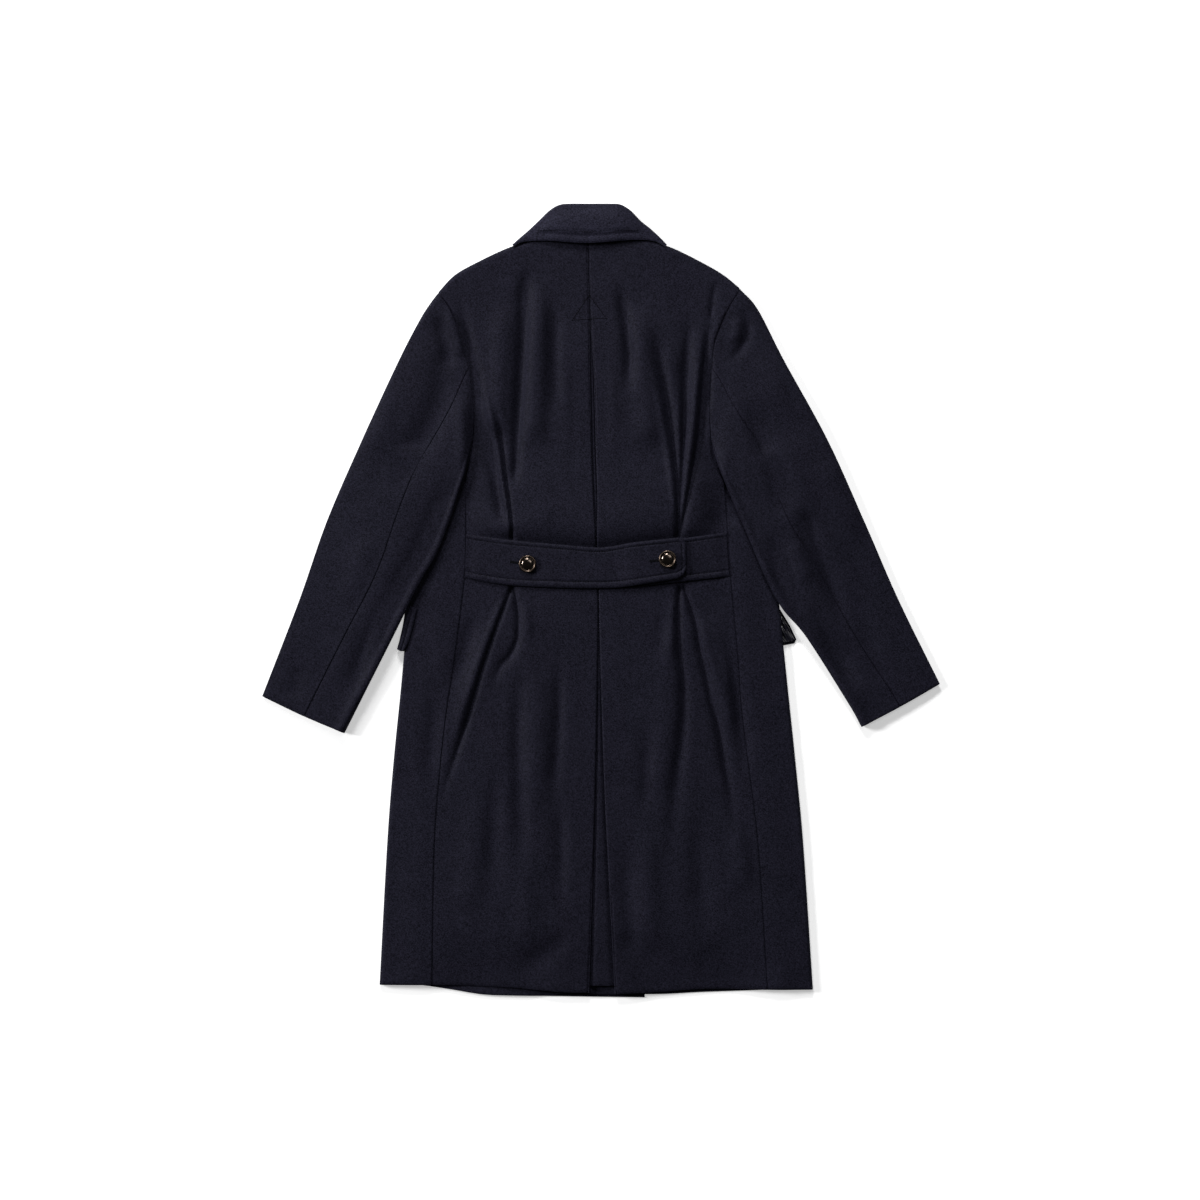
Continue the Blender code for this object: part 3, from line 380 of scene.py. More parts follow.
SKIRT_CREASES = [
    Crease([(-0.129, 0.024), (-0.143, -0.013), (-0.1564, -0.049), (-0.171, -0.093), (-0.184, -0.136),
            (-0.1975, -0.182), (-0.212, -0.226), (-0.228, -0.275), (-0.238, -0.330)],
           (0.0027, 0.0058), -0.0052, (0.02, 0.45)),
    Crease([(-0.139, 0.012), (-0.152, -0.020), (-0.178, -0.088), (-0.204, -0.170), (-0.224, -0.240)],
           (0.0046, 0.0070), 0.0026, (0.10, 0.40)),
    Crease([(-0.128, 0.024), (-0.1225, -0.008), (-0.1210, -0.030), (-0.1215, -0.054), (-0.131, -0.078),
            (-0.1456, -0.095), (-0.153, -0.112), (-0.158, -0.135)],
           (0.0034, 0.0068), -0.0052, (0.02, 0.35)),
    Crease([(-0.112, 0.001), (-0.107, -0.028), (-0.104, -0.064)], (0.005, 0.007), 0.0020, (0.30, 0.40)),
    Crease([(-0.112, -0.085), (-0.120, -0.149), (-0.121, -0.196), (-0.119, -0.276), (-0.117, -0.400),
            (-0.124, -0.510)], (0.010, 0.016), -0.0056, (0.25, 0.60)),
    Crease([(-0.096, -0.090), (-0.091, -0.150), (-0.091, -0.230), (-0.095, -0.330)],
           (0.014, 0.017), 0.0036, (0.35, 0.40)),
    Crease([(-0.064, -0.060), (-0.061, -0.139), (-0.062, -0.180), (-0.066, -0.239), (-0.072, -0.340)],
           (0.009, 0.011), -0.0040, (0.35, 0.45)),
    Crease([(-0.180, -0.010), (-0.199, -0.072), (-0.220, -0.150)], (0.012, 0.014), -0.0045, (0.35, 0.40)),
    Crease([(0.1155, 0.026), (0.1126, -0.006), (0.1131, -0.037), (0.115, -0.078), (0.120, -0.110),
            (0.1210, -0.160), (0.1180, -0.204), (0.113, -0.243), (0.106, -0.330), (0.100, -0.470)],
           (0.0034, 0.0160), -0.0060, (0.02, 0.70)),
    Crease([(0.106, 0.012), (0.103, -0.044), (0.099, -0.105)], (0.005, 0.008), 0.0020, (0.20, 0.40)),
    Crease([(0.119, 0.026), (0.1295, -0.006), (0.138, -0.032), (0.144, -0.069), (0.152, -0.102),
            (0.160, -0.141), (0.171, -0.182), (0.179, -0.226), (0.190, -0.289), (0.198, -0.370)],
           (0.0034, 0.0085), -0.0062, (0.02, 0.45)),
    Crease([(0.137, 0.004), (0.160, -0.082), (0.182, -0.158), (0.199, -0.239)],
           (0.006, 0.008), 0.0022, (0.25, 0.40)),
    Crease([(0.186, -0.080), (0.207, -0.191), (0.219, -0.260)], (0.011, 0.011), -0.0034, (0.35, 0.35)),
    Crease([(0.089, -0.005), (0.086, -0.048), (0.083, -0.095)], (0.010, 0.010), -0.0022, (0.40, 0.40)),
    Crease([(0.069, -0.165), (0.066, -0.247), (0.061, -0.330)], (0.012, 0.012), -0.0035, (0.40, 0.40)),
    Crease([(0.024, -0.480), (0.052, -0.510), (0.090, -0.540)], (0.016, 0.018), -0.0030, (0.35, 0.40)),
    Crease([(-0.034, -0.480), (-0.077, -0.514), (-0.132, -0.548)], (0.016, 0.020), -0.0032, (0.35, 0.40)),
    Crease([(-0.239, -0.110), (-0.247, -0.203), (-0.253, -0.290)], (0.013, 0.013), -0.0040, (0.40, 0.40)),
    Crease([(-0.118, -0.330), (-0.110, -0.440), (-0.106, -0.530)], (0.017, 0.018), 0.0034, (0.35, 0.40)),
    Crease([(-0.062, -0.270), (-0.056, -0.360), (-0.060, -0.470)], (0.015, 0.016), -0.0042, (0.35, 0.40)),
    Crease([(0.034, -0.340), (0.040, -0.450), (0.052, -0.540)], (0.014, 0.014), -0.0036, (0.35, 0.35)),
    Crease([(0.064, -0.320), (0.070, -0.420), (0.076, -0.530)], (0.016, 0.018), 0.0034, (0.35, 0.40)),
    Crease([(0.138, -0.290), (0.146, -0.390), (0.152, -0.510)], (0.018, 0.020), -0.0042, (0.35, 0.40)),
    Crease([(0.192, -0.310), (0.204, -0.368), (0.214, -0.430)], (0.012, 0.014), 0.0036, (0.35, 0.35)),
    Crease([(-0.182, -0.270), (-0.188, -0.380), (-0.190, -0.490)], (0.020, 0.022), 0.0032, (0.35, 0.40)),
    Crease([(-0.152, -0.230), (-0.158, -0.340), (-0.160, -0.450)], (0.012, 0.014), -0.0034, (0.35, 0.40)),
    Crease([(-0.234, 0.085), (-0.251, 0.045), (-0.266, 0.005)], (0.010, 0.011), 0.0024, (0.30, 0.35)),
]


def crease_height(crease, x, y):
    path = smooth_path(crease.line, CREASE_POINTS)
    nearest = np.full(np.shape(x), 9.0)
    place = np.zeros(np.shape(x))
    last = len(path) - 1
    for index in range(last):
        start, run = path[index], path[index + 1] - path[index]
        t = np.clip(((x - start[0]) * run[0] + (y - start[1]) * run[1]) / (run @ run), 0, 1)
        away = np.hypot(x - start[0] - t * run[0], y - start[1] - t * run[1])
        closer = away < nearest
        nearest = np.where(closer, away, nearest)
        place = np.where(closer, (index + t) / last, place)
    width = crease.widths[0] + (crease.widths[1] - crease.widths[0]) * place
    fade = smooth_step(place / crease.fades[0]) * smooth_step((1 - place) / crease.fades[1])
    power = 2.0 if crease.height > 0 else 1.5 + 0.5 * smooth_step((width - 0.005) / 0.004)
    return crease.height * fade * np.exp(-(nearest / width) ** power)


print(len(BROAD_FOLDS), "broad folds,", len(UPPER_CREASES) + len(SKIRT_CREASES), "creases on the back")

# %% [markdown]
# The height of the back is the sum of all this: level, crown, broad folds, creases and a faint unevenness
# that keeps heavy cloth from looking like metal. Ridges stay clear of the belt, while troughs run in
# under its edges, where the belt gathers the cloth. Above the belt the back swells out, and its deepest
# troughs stop one layer above a front that lies on the floor.

# %% Height of the back
FULLNESS = 1.5
BLOUSE_DEPTH = 0.0098
BLOUSE_HEIGHT = 0.036
BLOUSE_REACH = 9
HEM_SETTLES = 0.0085
RIDGE_CALM = 0.037
TROUGH_CALM = 0.022
PLEAT_CALM = 0.048
BACK_EASE = 0.0014
UNEVEN_HEIGHT = 0.00011
UNEVEN = [(61, 23, 0.4), (-37, 71, 1.9), (97, -52, 2.7), (19, 113, 0.9), (141, 88, 4.1), (-129, 47, 5.2)]


def unevenness(x, y):
    total = 0
    for across, up, turn in UNEVEN:
        along_wave = np.sin(across * x + up * y + turn)
        total = total + along_wave * np.sin(0.61 * up * x - 0.57 * across * y + 2 * turn)
    return total * UNEVEN_HEIGHT


def back_base(x, y):
    inside = from_side(x, y)
    crown = BODY_CROWN * smooth_step(inside / 0.130) * (1 - 0.7 * smooth_step((y - 0.36) / 0.09))
    folds = sum(crease_height(fold, x, y) for fold in BROAD_FOLDS)
    calm = smooth_step((from_belt(x, y) - RIDGE_CALM) / 0.020)
    calm = calm * smooth_step((np.abs(x - CENTRE_X) - PLEAT_CALM) / 0.02)
    settle = HEM_SETTLES * smooth_step((-0.470 - y) / 0.095) * smooth_step((inside + 0.03) / 0.10)
    settle = settle * (0.55 + 0.45 * smooth_step((np.abs(x - CENTRE_X) - 0.05) / 0.06))
    return BODY_TOP + crown + FULLNESS * folds * calm * smooth_step(inside / 0.020) - settle


def back_height(x, y):
    x, y = np.asarray(x, float), np.asarray(y, float)
    under_belt = from_belt(x, y)
    ridges_clear = smooth_step((under_belt - RIDGE_CALM) / 0.016)
    troughs_clear = smooth_step((under_belt - TROUGH_CALM) / 0.010)
    relief = np.zeros(np.shape(x))
    for crease in UPPER_CREASES + SKIRT_CREASES:
        clear = ridges_clear if crease.height > 0 else troughs_clear
        relief = relief + crease_height(crease, x, y) * clear
    inside = from_side(x, y)
    above = (y - y_at(BELT_TOP, x)) / BLOUSE_HEIGHT
    swell = np.maximum(above, 0) * np.exp(1 - np.maximum(above, 0)) * (above < BLOUSE_REACH)
    blouse = BLOUSE_DEPTH * swell * smooth_step(inside / 0.05)
    pleat_calm = smooth_step((np.abs(x - CENTRE_X) - 0.022) / 0.02)
    sewn_end = belt_end_dip(inside) * (inside > 0) * (1 - smooth_step((under_belt - TROUGH_CALM) / 0.008))
    height = back_base(x, y) + relief * pleat_calm + blouse - sewn_end + unevenness(x, y)
    return held_above(height, front_height(x, y, False) + CLOTH + LAYER_GAP, BACK_EASE)


print("back, mid height at the shoulder blade:", round(float(back_height(-0.08, 0.35)) * 1000, 1), "mm")

# %% [markdown]
# Melton wool is woven as a fine twill, then milled until a short nap hides the weave. What the eye sees
# is a mix of dark and pale fibres, soft clouds where the nap lies one way or another, and a silvery edge
# where the fibres are seen from the side. One node group makes fibres, clouds and the ghost of the twill,
# because the coat, its belt and its thread share them; the silvery edge is the shader's own sheen.

# %% Node group for the nap
def add_node(tree, kind, **settings):
    node = tree.nodes.new(kind)
    for name, value in settings.items():
        setattr(node, name, value)
    return node


def add_math(tree, operation, first, second):
    node = add_node(tree, "ShaderNodeMath", operation=operation)
    for socket, value in zip(node.inputs, (first, second)):
        if isinstance(value, (int, float)):
            socket.default_value = value
        else:
            tree.links.new(value, socket)
    return node.outputs[0]


def add_share(tree, value, share):
    return add_math(tree, "MULTIPLY", value, share)


def add_noise(tree, vector, scale, detail, roughness):
    node = add_node(tree, "ShaderNodeTexNoise")
    set_inputs(node, {"Scale": scale, "Detail": detail, "Roughness": roughness})
    tree.links.new(vector, node.inputs["Vector"])
    return node.outputs["Fac"]


def add_turn(tree, vector, angle, stretch):
    node = add_node(tree, "ShaderNodeMapping")
    set_inputs(node, {"Rotation": (0, 0, angle), "Scale": stretch})
    tree.links.new(vector, node.inputs["Vector"])
    return node.outputs["Vector"]


FIBRE_STRETCH = (1, 0.35, 1)
nap = bpy.data.node_groups.new("Napped cloth", "ShaderNodeTree")
nap.interface.new_socket("Dark fibre", in_out="INPUT", socket_type="NodeSocketColor")
nap.interface.new_socket("Pale fibre", in_out="INPUT", socket_type="NodeSocketColor")
nap.interface.new_socket("Color", in_out="OUTPUT", socket_type="NodeSocketColor")
nap.interface.new_socket("Height", in_out="OUTPUT", socket_type="NodeSocketFloat")
nap_in = add_node(nap, "NodeGroupInput")
nap_out = add_node(nap, "NodeGroupOutput")
cloth_place = add_node(nap, "ShaderNodeTexCoord").outputs["Object"]
fibre_one = add_noise(nap, add_turn(nap, cloth_place, 0.7, FIBRE_STRETCH), 1500, detail=2, roughness=0.6)
fibre_two = add_noise(nap, add_turn(nap, cloth_place, -0.9, FIBRE_STRETCH), 1300, detail=2, roughness=0.6)
fleck = add_noise(nap, cloth_place, 560, detail=2, roughness=0.6)
speck = add_node(nap, "ShaderNodeTexVoronoi")
set_inputs(speck, {"Scale": 780})
nap.links.new(cloth_place, speck.inputs["Vector"])
speck_tone = add_node(nap, "ShaderNodeSeparateColor")
nap.links.new(speck.outputs["Color"], speck_tone.inputs["Color"])
cloud = add_noise(nap, cloth_place, 34, detail=4, roughness=0.6)
twill = add_node(nap, "ShaderNodeTexWave", wave_type="BANDS", bands_direction="DIAGONAL")
set_inputs(twill, {"Scale": 150, "Distortion": 3.0, "Detail Scale": 2.0})
nap.links.new(cloth_place, twill.inputs["Vector"])
fibres = add_math(nap, "ADD", add_share(nap, fibre_one, 0.5), add_share(nap, fibre_two, 0.5))
grain = add_math(nap, "ADD", add_share(nap, fibres, 0.30), add_share(nap, fleck, 0.70))
grain = add_math(nap, "ADD", grain, add_share(nap, twill.outputs["Fac"], 0.05))
spread = add_node(nap, "ShaderNodeMapRange", interpolation_type="SMOOTHSTEP")
set_inputs(spread, {"From Min": 0.42, "From Max": 0.64})
nap.links.new(grain, spread.inputs["Value"])
specks = add_math(nap, "ADD", add_share(nap, speck_tone.outputs["Red"], 0.42),
                  add_share(nap, spread.outputs["Result"], 0.24))
mixture = add_math(nap, "ADD", specks, add_share(nap, cloud, 0.16))
blend = add_node(nap, "ShaderNodeMix", data_type="RGBA")
nap.links.new(mixture, blend.inputs["Factor"])
nap.links.new(nap_in.outputs["Dark fibre"], blend.inputs["A"])
nap.links.new(nap_in.outputs["Pale fibre"], blend.inputs["B"])
nap.links.new(blend.outputs["Result"], nap_out.inputs["Color"])
nap.links.new(grain, nap_out.inputs["Height"])
print("node group:", nap.name, len(nap.nodes), "nodes")

# %% Wool, satin and thread
NAP_HEIGHT = 0.0006


def napped_material(name, dark, pale_fibre, roughness, gloss, sheen, sheen_tint, relief_strength):
    material = bpy.data.materials.new(name)
    material.use_nodes = True
    tree = material.node_tree
    shader = tree.nodes["Principled BSDF"]
    group = add_node(tree, "ShaderNodeGroup")
    group.node_tree = nap
    set_inputs(group, {"Dark fibre": (*dark, 1), "Pale fibre": (*pale_fibre, 1)})
    tree.links.new(group.outputs["Color"], shader.inputs["Base Color"])
    relief = add_node(tree, "ShaderNodeBump")
    set_inputs(relief, {"Strength": relief_strength, "Distance": NAP_HEIGHT})
    tree.links.new(group.outputs["Height"], relief.inputs["Height"])
    tree.links.new(relief.outputs["Normal"], shader.inputs["Normal"])
    set_inputs(shader, {"Roughness": roughness, "Specular IOR Level": gloss, "Sheen Weight": sheen,
                        "Sheen Roughness": 0.30, "Sheen Tint": (*sheen_tint, 1)})
    return material


DARK_NAVY = (0.0006, 0.0006, 0.0014)
PALE_NAVY = (0.0220, 0.0213, 0.0362)


# tone 1 gives the wool's own colour; other tones make copies of the same wool painted lighter or darker, as
# painted light and painted shade.
def wool(name, tone):
    dark, pale_fibre = np.array(DARK_NAVY) * tone, np.array(PALE_NAVY) * tone
    return napped_material(name, dark, pale_fibre, roughness=0.60, gloss=0.03, sheen=0.05,
                           sheen_tint=(0.72, 0.73, 1.0), relief_strength=0.5)


WOOL = wool("navy_wool", 1.0)
# The collar takes the same wool painted 1.40 times paler: painted light where the lamps fall on the collar
# roll.
COLLAR_WOOL_PAINTED_LIGHT = wool("navy_wool_collar_painted_light", 1.40)
# The belt takes the same wool painted 0.96 times as bright: painted shade for a belt that faces away from
# the light.
BELT_WOOL_PAINTED_SHADE = wool("navy_wool_belt_painted_shade", 0.96)
# The sleeves take the same wool painted 0.96 times as bright: painted shade for sleeves that lie darker
# than the back.
SLEEVE_WOOL_PAINTED_SHADE = wool("navy_wool_sleeve_painted_shade", 0.96)
THREAD = napped_material("navy_thread", (0.0006, 0.0006, 0.0011), (0.0040, 0.0040, 0.0068),
                         roughness=0.55, gloss=0.05, sheen=0.0, sheen_tint=(1, 1, 1), relief_strength=0.3)
SATIN = napped_material("black_satin", (0.0034, 0.0032, 0.0060), (0.0078, 0.0074, 0.0130),
                        roughness=0.24, gloss=0.9, sheen=0.0, sheen_tint=(1, 1, 1), relief_strength=0.08)
set_inputs(SATIN.node_tree.nodes["Principled BSDF"], {"Anisotropic": 0.4})
print("cloth materials:", WOOL.name, THREAD.name, SATIN.name)

# %% [markdown]
# Every sheet of cloth starts as a grid of middle points. Solidify gives it the thickness of melton, Bevel
# softens the cut edges, and the result is kept as a plain mesh, so that what is measured is what is seen.

# %% From a grid of points to cloth
WOOL_SHEET = 0.0018
UNDERLAY_SHEET = 0.0014
COLLAR_SHEET = 0.0020
DOUBLED_SHEET = 0.0026
SATIN_SHEET = 0.0008
Cloth = namedtuple("Cloth", "piece area")
PIECES = {}


def cloth(name, points, thickness=WOOL_SHEET, material=WOOL, missing=None):
    rows, columns = points.shape[:2]
    index = np.arange(rows * columns).reshape(rows, columns)
    cells = np.stack([index[:-1, :-1], index[1:, :-1], index[1:, 1:], index[:-1, 1:]], axis=-1)
    kept = cells.reshape(-1, 4) if missing is None else cells[~missing]
    used, corners = np.unique(kept, return_inverse=True)
    shape = bpy.data.meshes.new(name)
    shape.from_pydata(points.reshape(-1, 3)[used].tolist(), [], corners.reshape(-1, 4).tolist())
    area = sum(face.area for face in shape.polygons)
    piece = bpy.data.objects.new(name, shape)
    bpy.context.collection.objects.link(piece)
    thick = piece.modifiers.new("thickness", "SOLIDIFY")
    thick.thickness = thickness
    thick.offset = 0
    soft = piece.modifiers.new("soft edge", "BEVEL")
    soft.width = thickness * 0.3
    soft.segments = 2
    soft.limit_method = "ANGLE"
    soft.angle_limit = math.radians(60)
    return keep_plain(name, piece, material, area)


def keep_plain(name, piece, material, area=None):
    evaluated = piece.evaluated_get(bpy.context.evaluated_depsgraph_get())
    plain = bpy.data.meshes.new_from_object(evaluated)
    piece.modifiers.clear()
    piece.data = plain
    shape = bmesh.new()
    shape.from_mesh(plain)
    bmesh.ops.recalc_face_normals(shape, faces=shape.faces)
    shape.to_mesh(plain)
    shape.free()
    plain.name = name
    plain.materials.clear()
    plain.materials.append(material)
    plain.shade_smooth()
    if area:
        print(f"{name}: {len(plain.polygons)} faces, cloth area {area:.4f} m2")
    PIECES[name] = Cloth(piece, area)
    return piece


def rolled(low, high, angle):
    return low + (high - low) * (1 + np.sin(angle)) / 2


SEAM_STEP = 0.0010
SEAM_RIDGE = 0.0003


def seam_step(distance, lower):
    stepped_down = -SEAM_STEP * np.exp(-distance / 0.0050)
    return np.where(lower, stepped_down, SEAM_RIDGE * bump(distance, 0.004))


# %% [markdown]
# Each half back is cut in one with its turn-under at the pleat. Its rows run from side seam to centre,
# and bow with the shoulder at the top and with the hem at the bottom. The side edge sinks into its seam,
# the hem turns under, and the centre edge rolls over into the pleat.

# %% Half backs
def panel_plan(top, bottom, left, right):
    def share(first, second):
        one, other = lengths_along(first), lengths_along(second)
        return (one / one[-1] + other / other[-1]) / 2

    u = share(top, bottom)[None, :, None]
    v = share(left, right)[:, None, None]
    straight = (1 - u) * left[:, None] + u * right[:, None]
    top_bow = top[None] - ((1 - u) * top[0] + u * top[-1])
    bottom_bow = bottom[None] - ((1 - u) * bottom[0] + u * bottom[-1])
    return straight + (1 - v) ** 4 * top_bow + v ** 4 * bottom_bow


SHOULDER_TURN = np.array([0.09, 0.30, 0.55, 0.80, 1.15, math.pi / 2])


def side_points(path, rows):
    roll = CLOTH / 2 + EDGE_RADIUS * (1 - np.cos(SHOULDER_TURN))
    below = np.linspace(roll[-1], lengths_along(path)[-1], rows)[1:]
    return at_lengths(path, np.concatenate([roll, below]))


PLEAT_ROLL = np.array([0.9, 0.4, 0.0, -0.5, -1.0, -math.pi / 2])
PLEAT_INSIDE = np.array([0.25, 0.6, 1.0])
PLEAT_DEPTHS = [0.045, 0.020, 0.015]
SEWN_FOLD_RADIUS = 0.0004


def pleat_turn(side, fold_x, centre_y):
    radius = np.interp(centre_y, [PLEAT_TOP_Y - 0.03, PLEAT_TOP_Y + 0.02], [PLEAT_RADIUS, SEWN_FOLD_RADIUS])
    radius = radius[:, None]
    arc_x = fold_x[:, None] - side.sign * radius * (1 - np.cos(PLEAT_ROLL))
    depth = np.interp(centre_y, [HEM_Y, PLEAT_TOP_Y, NECK_Y], PLEAT_DEPTHS)
    inside_x = fold_x[:, None] - side.sign * (PLEAT_RADIUS + depth[:, None] * PLEAT_INSIDE)
    lower_turn = radius + (2 * PLEAT_RADIUS - radius) * -np.sin(PLEAT_ROLL)
    arc_drop = np.where(np.sin(PLEAT_ROLL) > 0, radius * (1 - np.sin(PLEAT_ROLL)), lower_turn)
    drop = np.hstack([arc_drop, np.full(inside_x.shape, 2 * PLEAT_RADIUS)])
    return np.hstack([arc_x, inside_x]), drop


ALLOWANCE = [(0.0075, 0.0026), (0.0025, 0.0024), (0.0004, 0.0012)]
WIDE_ALLOWANCE_Y = 0.205


def seam_allowance(side, x, y, z):
    wide = 1 + 1.6 * bump(y - WIDE_ALLOWANCE_Y, 0.030)
    wide = wide * (0.04 + 0.96 * smooth_step((np.arange(len(y)) - 2) / 14))[:, None]
    return [plan_with(x - side.sign * out * wide, y, z - sink) for out, sink in ALLOWANCE]


ARM_RIDGE = 0.0013
ARM_RIDGE_TOP_Y = 0.445
ARM_RIDGE_LOW_Y = 0.270


def back_panel(side, rows=260, columns=124):
    curves = CURVES[side.name]
    left = side_points(BACK_SIDES[side.name], rows)
    turn = len(SHOULDER_TURN)
    angle = np.concatenate([SHOULDER_TURN, np.full(len(left) - turn, math.pi / 2)])
    centre_y = np.interp(-left[:, 1], [-left[turn - 1, 1], -SEAM_TOP_Y, -LEVEL_TO_Y, -left[-1, 1]],
                         [NECK_Y - EDGE_RADIUS, SEAM_TOP_Y, LEVEL_TO_Y, curves["pleat"][-1, 1]])
    centre_y[:turn] = NECK_Y - EDGE_RADIUS * (1 - np.cos(SHOULDER_TURN))
    fold_x = x_at(curves["pleat"], centre_y) - side.sign * (CLOTH / 2 + SEAM_GAP / 2)
    right = np.column_stack([fold_x - side.sign * PLEAT_RADIUS, centre_y])
    top = along(np.vstack([curves["shoulder"], curves["neck"][1:]]), np.linspace(0, 1, columns))
    bottom = along(curves["back_hem"], np.linspace(0, 1, columns))
    top[0], top[-1], bottom[0], bottom[-1] = left[0], right[0], left[-1], right[-1]
    plan = panel_plan(top, bottom, left, right)
    x, y = plan[..., 0], plan[..., 1]
    z = rolled(front_height(x, y, side is RIGHT), back_height(x, y), angle[:, None])
    to_seam = np.hypot(x - x[:, :1], y - y[:, :1])
    to_hem = np.hypot(x - x[-1:], y - y[-1:])
    sewn = seam_step(to_seam, side is LEFT) * (np.arange(len(z)) >= turn)[:, None]
    if side is RIGHT:
        beside_sleeve = smooth_step((ARM_RIDGE_TOP_Y - y) / 0.04)
        beside_sleeve = beside_sleeve * smooth_step((y - ARM_RIDGE_LOW_Y) / 0.04)
        sewn = sewn + ARM_RIDGE * bump(to_seam - 0.0045, 0.0040) * beside_sleeve
    z = z + sewn - HEM_TURN * bump(to_hem, EDGE_SOFT)
    under_x, drop = pleat_turn(side, fold_x, centre_y)
    under_y = np.repeat(centre_y[:, None], under_x.shape[1], axis=1)
    under_z = back_height(under_x, under_y) - drop
    under_z[:turn] = z[:turn, -1:] - drop[:turn]
    turned_in = seam_allowance(side, x[:, :1], y[:, :1], z[:, :1])
    points = np.concatenate(turned_in + [plan_with(x, y, z), plan_with(under_x, under_y, under_z)], axis=1)
    missing = np.zeros((len(points) - 1, points.shape[1] - 1), bool)
    missing[:turn, columns + 2 + len(ALLOWANCE):] = True
    missing[:3, :len(ALLOWANCE)] = True
    return cloth("back_cloth_" + side.name, points, missing=missing)


for side in SIDES:
    back_panel(side)

# %% [markdown]
# Behind the pleat lies a strip of the same wool. It shows as a narrow band between the two folds, wider
# towards the hem, and ends a little above it. Between the folds nothing presses on it, so it rises almost
# level with them.

# %% Pleat underlay
UNDERLAY_DEPTHS = [0.045, 0.020, 0.012]
UNDERLAY_RISE = 0.0032


def pleat_underlay(rows=160, columns=40):
    y = np.linspace(NECK_Y - 0.007, HEM_Y + 0.008, rows)[:, None]
    depth = np.interp(y, [HEM_Y, PLEAT_TOP_Y, NECK_Y], UNDERLAY_DEPTHS)
    left_fold, right_fold = x_at(CURVES["left"]["pleat"], y), x_at(CURVES["right"]["pleat"], y)
    x = left_fold - depth + (right_fold - left_fold + 2 * depth) * np.linspace(0, 1, columns)
    open_width = np.maximum(right_fold - left_fold - 0.0020, 0.0002)
    off_centre = np.abs(x - (left_fold + right_fold) / 2) / open_width
    rise = UNDERLAY_RISE * smooth_step((0.62 - off_centre) / 0.35)
    rise = rise * smooth_step((open_width - 0.0008) / 0.002)
    y = np.repeat(y, columns, axis=1)
    points = plan_with(x, y, back_height(x, y) - 4 * PLEAT_RADIUS + rise)
    return cloth("underlay_cloth", points, UNDERLAY_SHEET)


pleat_underlay()

# %% [markdown]
# The fronts lie on the floor under the back. Each wraps round the side as a soft roll and comes up to the
# side seam as a narrow strip, so it is built as one sheet: strip, roll and flat part in the same rows.
# Above the underarm only the flat part exists, from the armhole to the line where the lapel folds.

# %% Fronts
UNDER_SLEEVE = [(0.003, 0.213), (0.013, 0.200), (0.044, 0.187)]
WRAP_FALL = 0.0030
WRAP_FALL_WIDTH = 0.055
HEM_LIFT = 0.0030
HEM_LIFT_Y = -0.553
HEM_LIFT_X = -0.078


def wrap_fall(to_edge):
    return WRAP_FALL * (1 - smooth_step(to_edge / WRAP_FALL_WIDTH))


def hem_lift(x, y):
    return HEM_LIFT * smooth_step((HEM_LIFT_Y - y) / 0.018) * smooth_step((HEM_LIFT_X - x) / 0.030)


def upper_front(side, inner, fold_start, rows, columns):
    curves = CURVES[side.name]
    roll = CLOTH / 2 + EDGE_RADIUS * (1 - np.cos(SHOULDER_TURN))
    arm_length = path_length(curves["armhole"])
    lengths = np.concatenate([roll, np.linspace(roll[-1], arm_length - roll[-1], rows)[1:]])
    arm = along(curves["armhole"], lengths / arm_length)
    scooped = [(arm[-1][0] - side.sign * out, y) for out, y in UNDER_SLEEVE]
    scoop = smooth_path([arm[-1]] + scooped + [fold_start])
    left = np.vstack([arm, along(scoop, np.linspace(0, 1, 14)[1:])])
    neck_point = np.array(side.lines["shoulder"][-1])
    roll_line = np.array((side.front_edge, BREAK_Y)) - neck_point
    turn = len(SHOULDER_TURN)
    steps = EDGE_RADIUS * (1 - np.cos(SHOULDER_TURN)) / np.linalg.norm(roll_line)
    steps = np.concatenate([steps, np.linspace(steps[-1], 1, len(left) - turn)[1:]])
    right = np.vstack([neck_point + roll_line * steps[:, None], [(side.front_edge, UNDERARM_Y)]])
    top = along(curves["shoulder"], np.linspace(0, 1, columns))
    top[0], top[-1] = left[0], right[0]
    waist = np.linspace(left[-1], right[-1], columns)
    upper = panel_plan(top, waist, left, right)
    angle = np.concatenate([-SHOULDER_TURN, np.full(len(left) - turn, -math.pi / 2)])
    x, y = upper[..., 0], upper[..., 1]
    flat = plan_with(x, y, rolled(front_height(x, y, inner), back_height(x, y), angle[:, None]))
    return flat[:-1], waist


def wrapped_side(side, inner, height, edge_x, columns):
    seam_x = x_at(CURVES[side.name]["seam"], height) - side.sign * SEAM_GAP
    strip_end = edge_x + side.sign * EDGE_RADIUS
    strip_x = seam_x[:, None] + (strip_end - seam_x)[:, None] * np.linspace(0, 1, columns)
    strip_y = np.repeat(height[:, None], columns, axis=1)
    to_seam = np.abs(strip_x - seam_x[:, None])
    to_edge = np.abs(strip_x - edge_x[:, None])
    strip_z = back_height(strip_x, strip_y) + seam_step(to_seam, side is RIGHT) - wrap_fall(to_edge)
    strip_z = strip_z - HEM_TURN * bump(strip_y - height[-1], EDGE_SOFT)
    turning = np.linspace(1.2, -1.2, 8)
    round_x = edge_x[:, None] + side.sign * EDGE_RADIUS * (1 - np.cos(turning))
    round_y = np.repeat(height[:, None], len(turning), axis=1)
    round_high = back_height(round_x, round_y) - wrap_fall(np.abs(round_x - edge_x[:, None]))
    round_z = rolled(front_height(round_x, round_y, inner), round_high, turning)
    strip, wrapped = plan_with(strip_x, strip_y, strip_z), plan_with(round_x, round_y, round_z)
    return np.concatenate([strip, wrapped], axis=1)


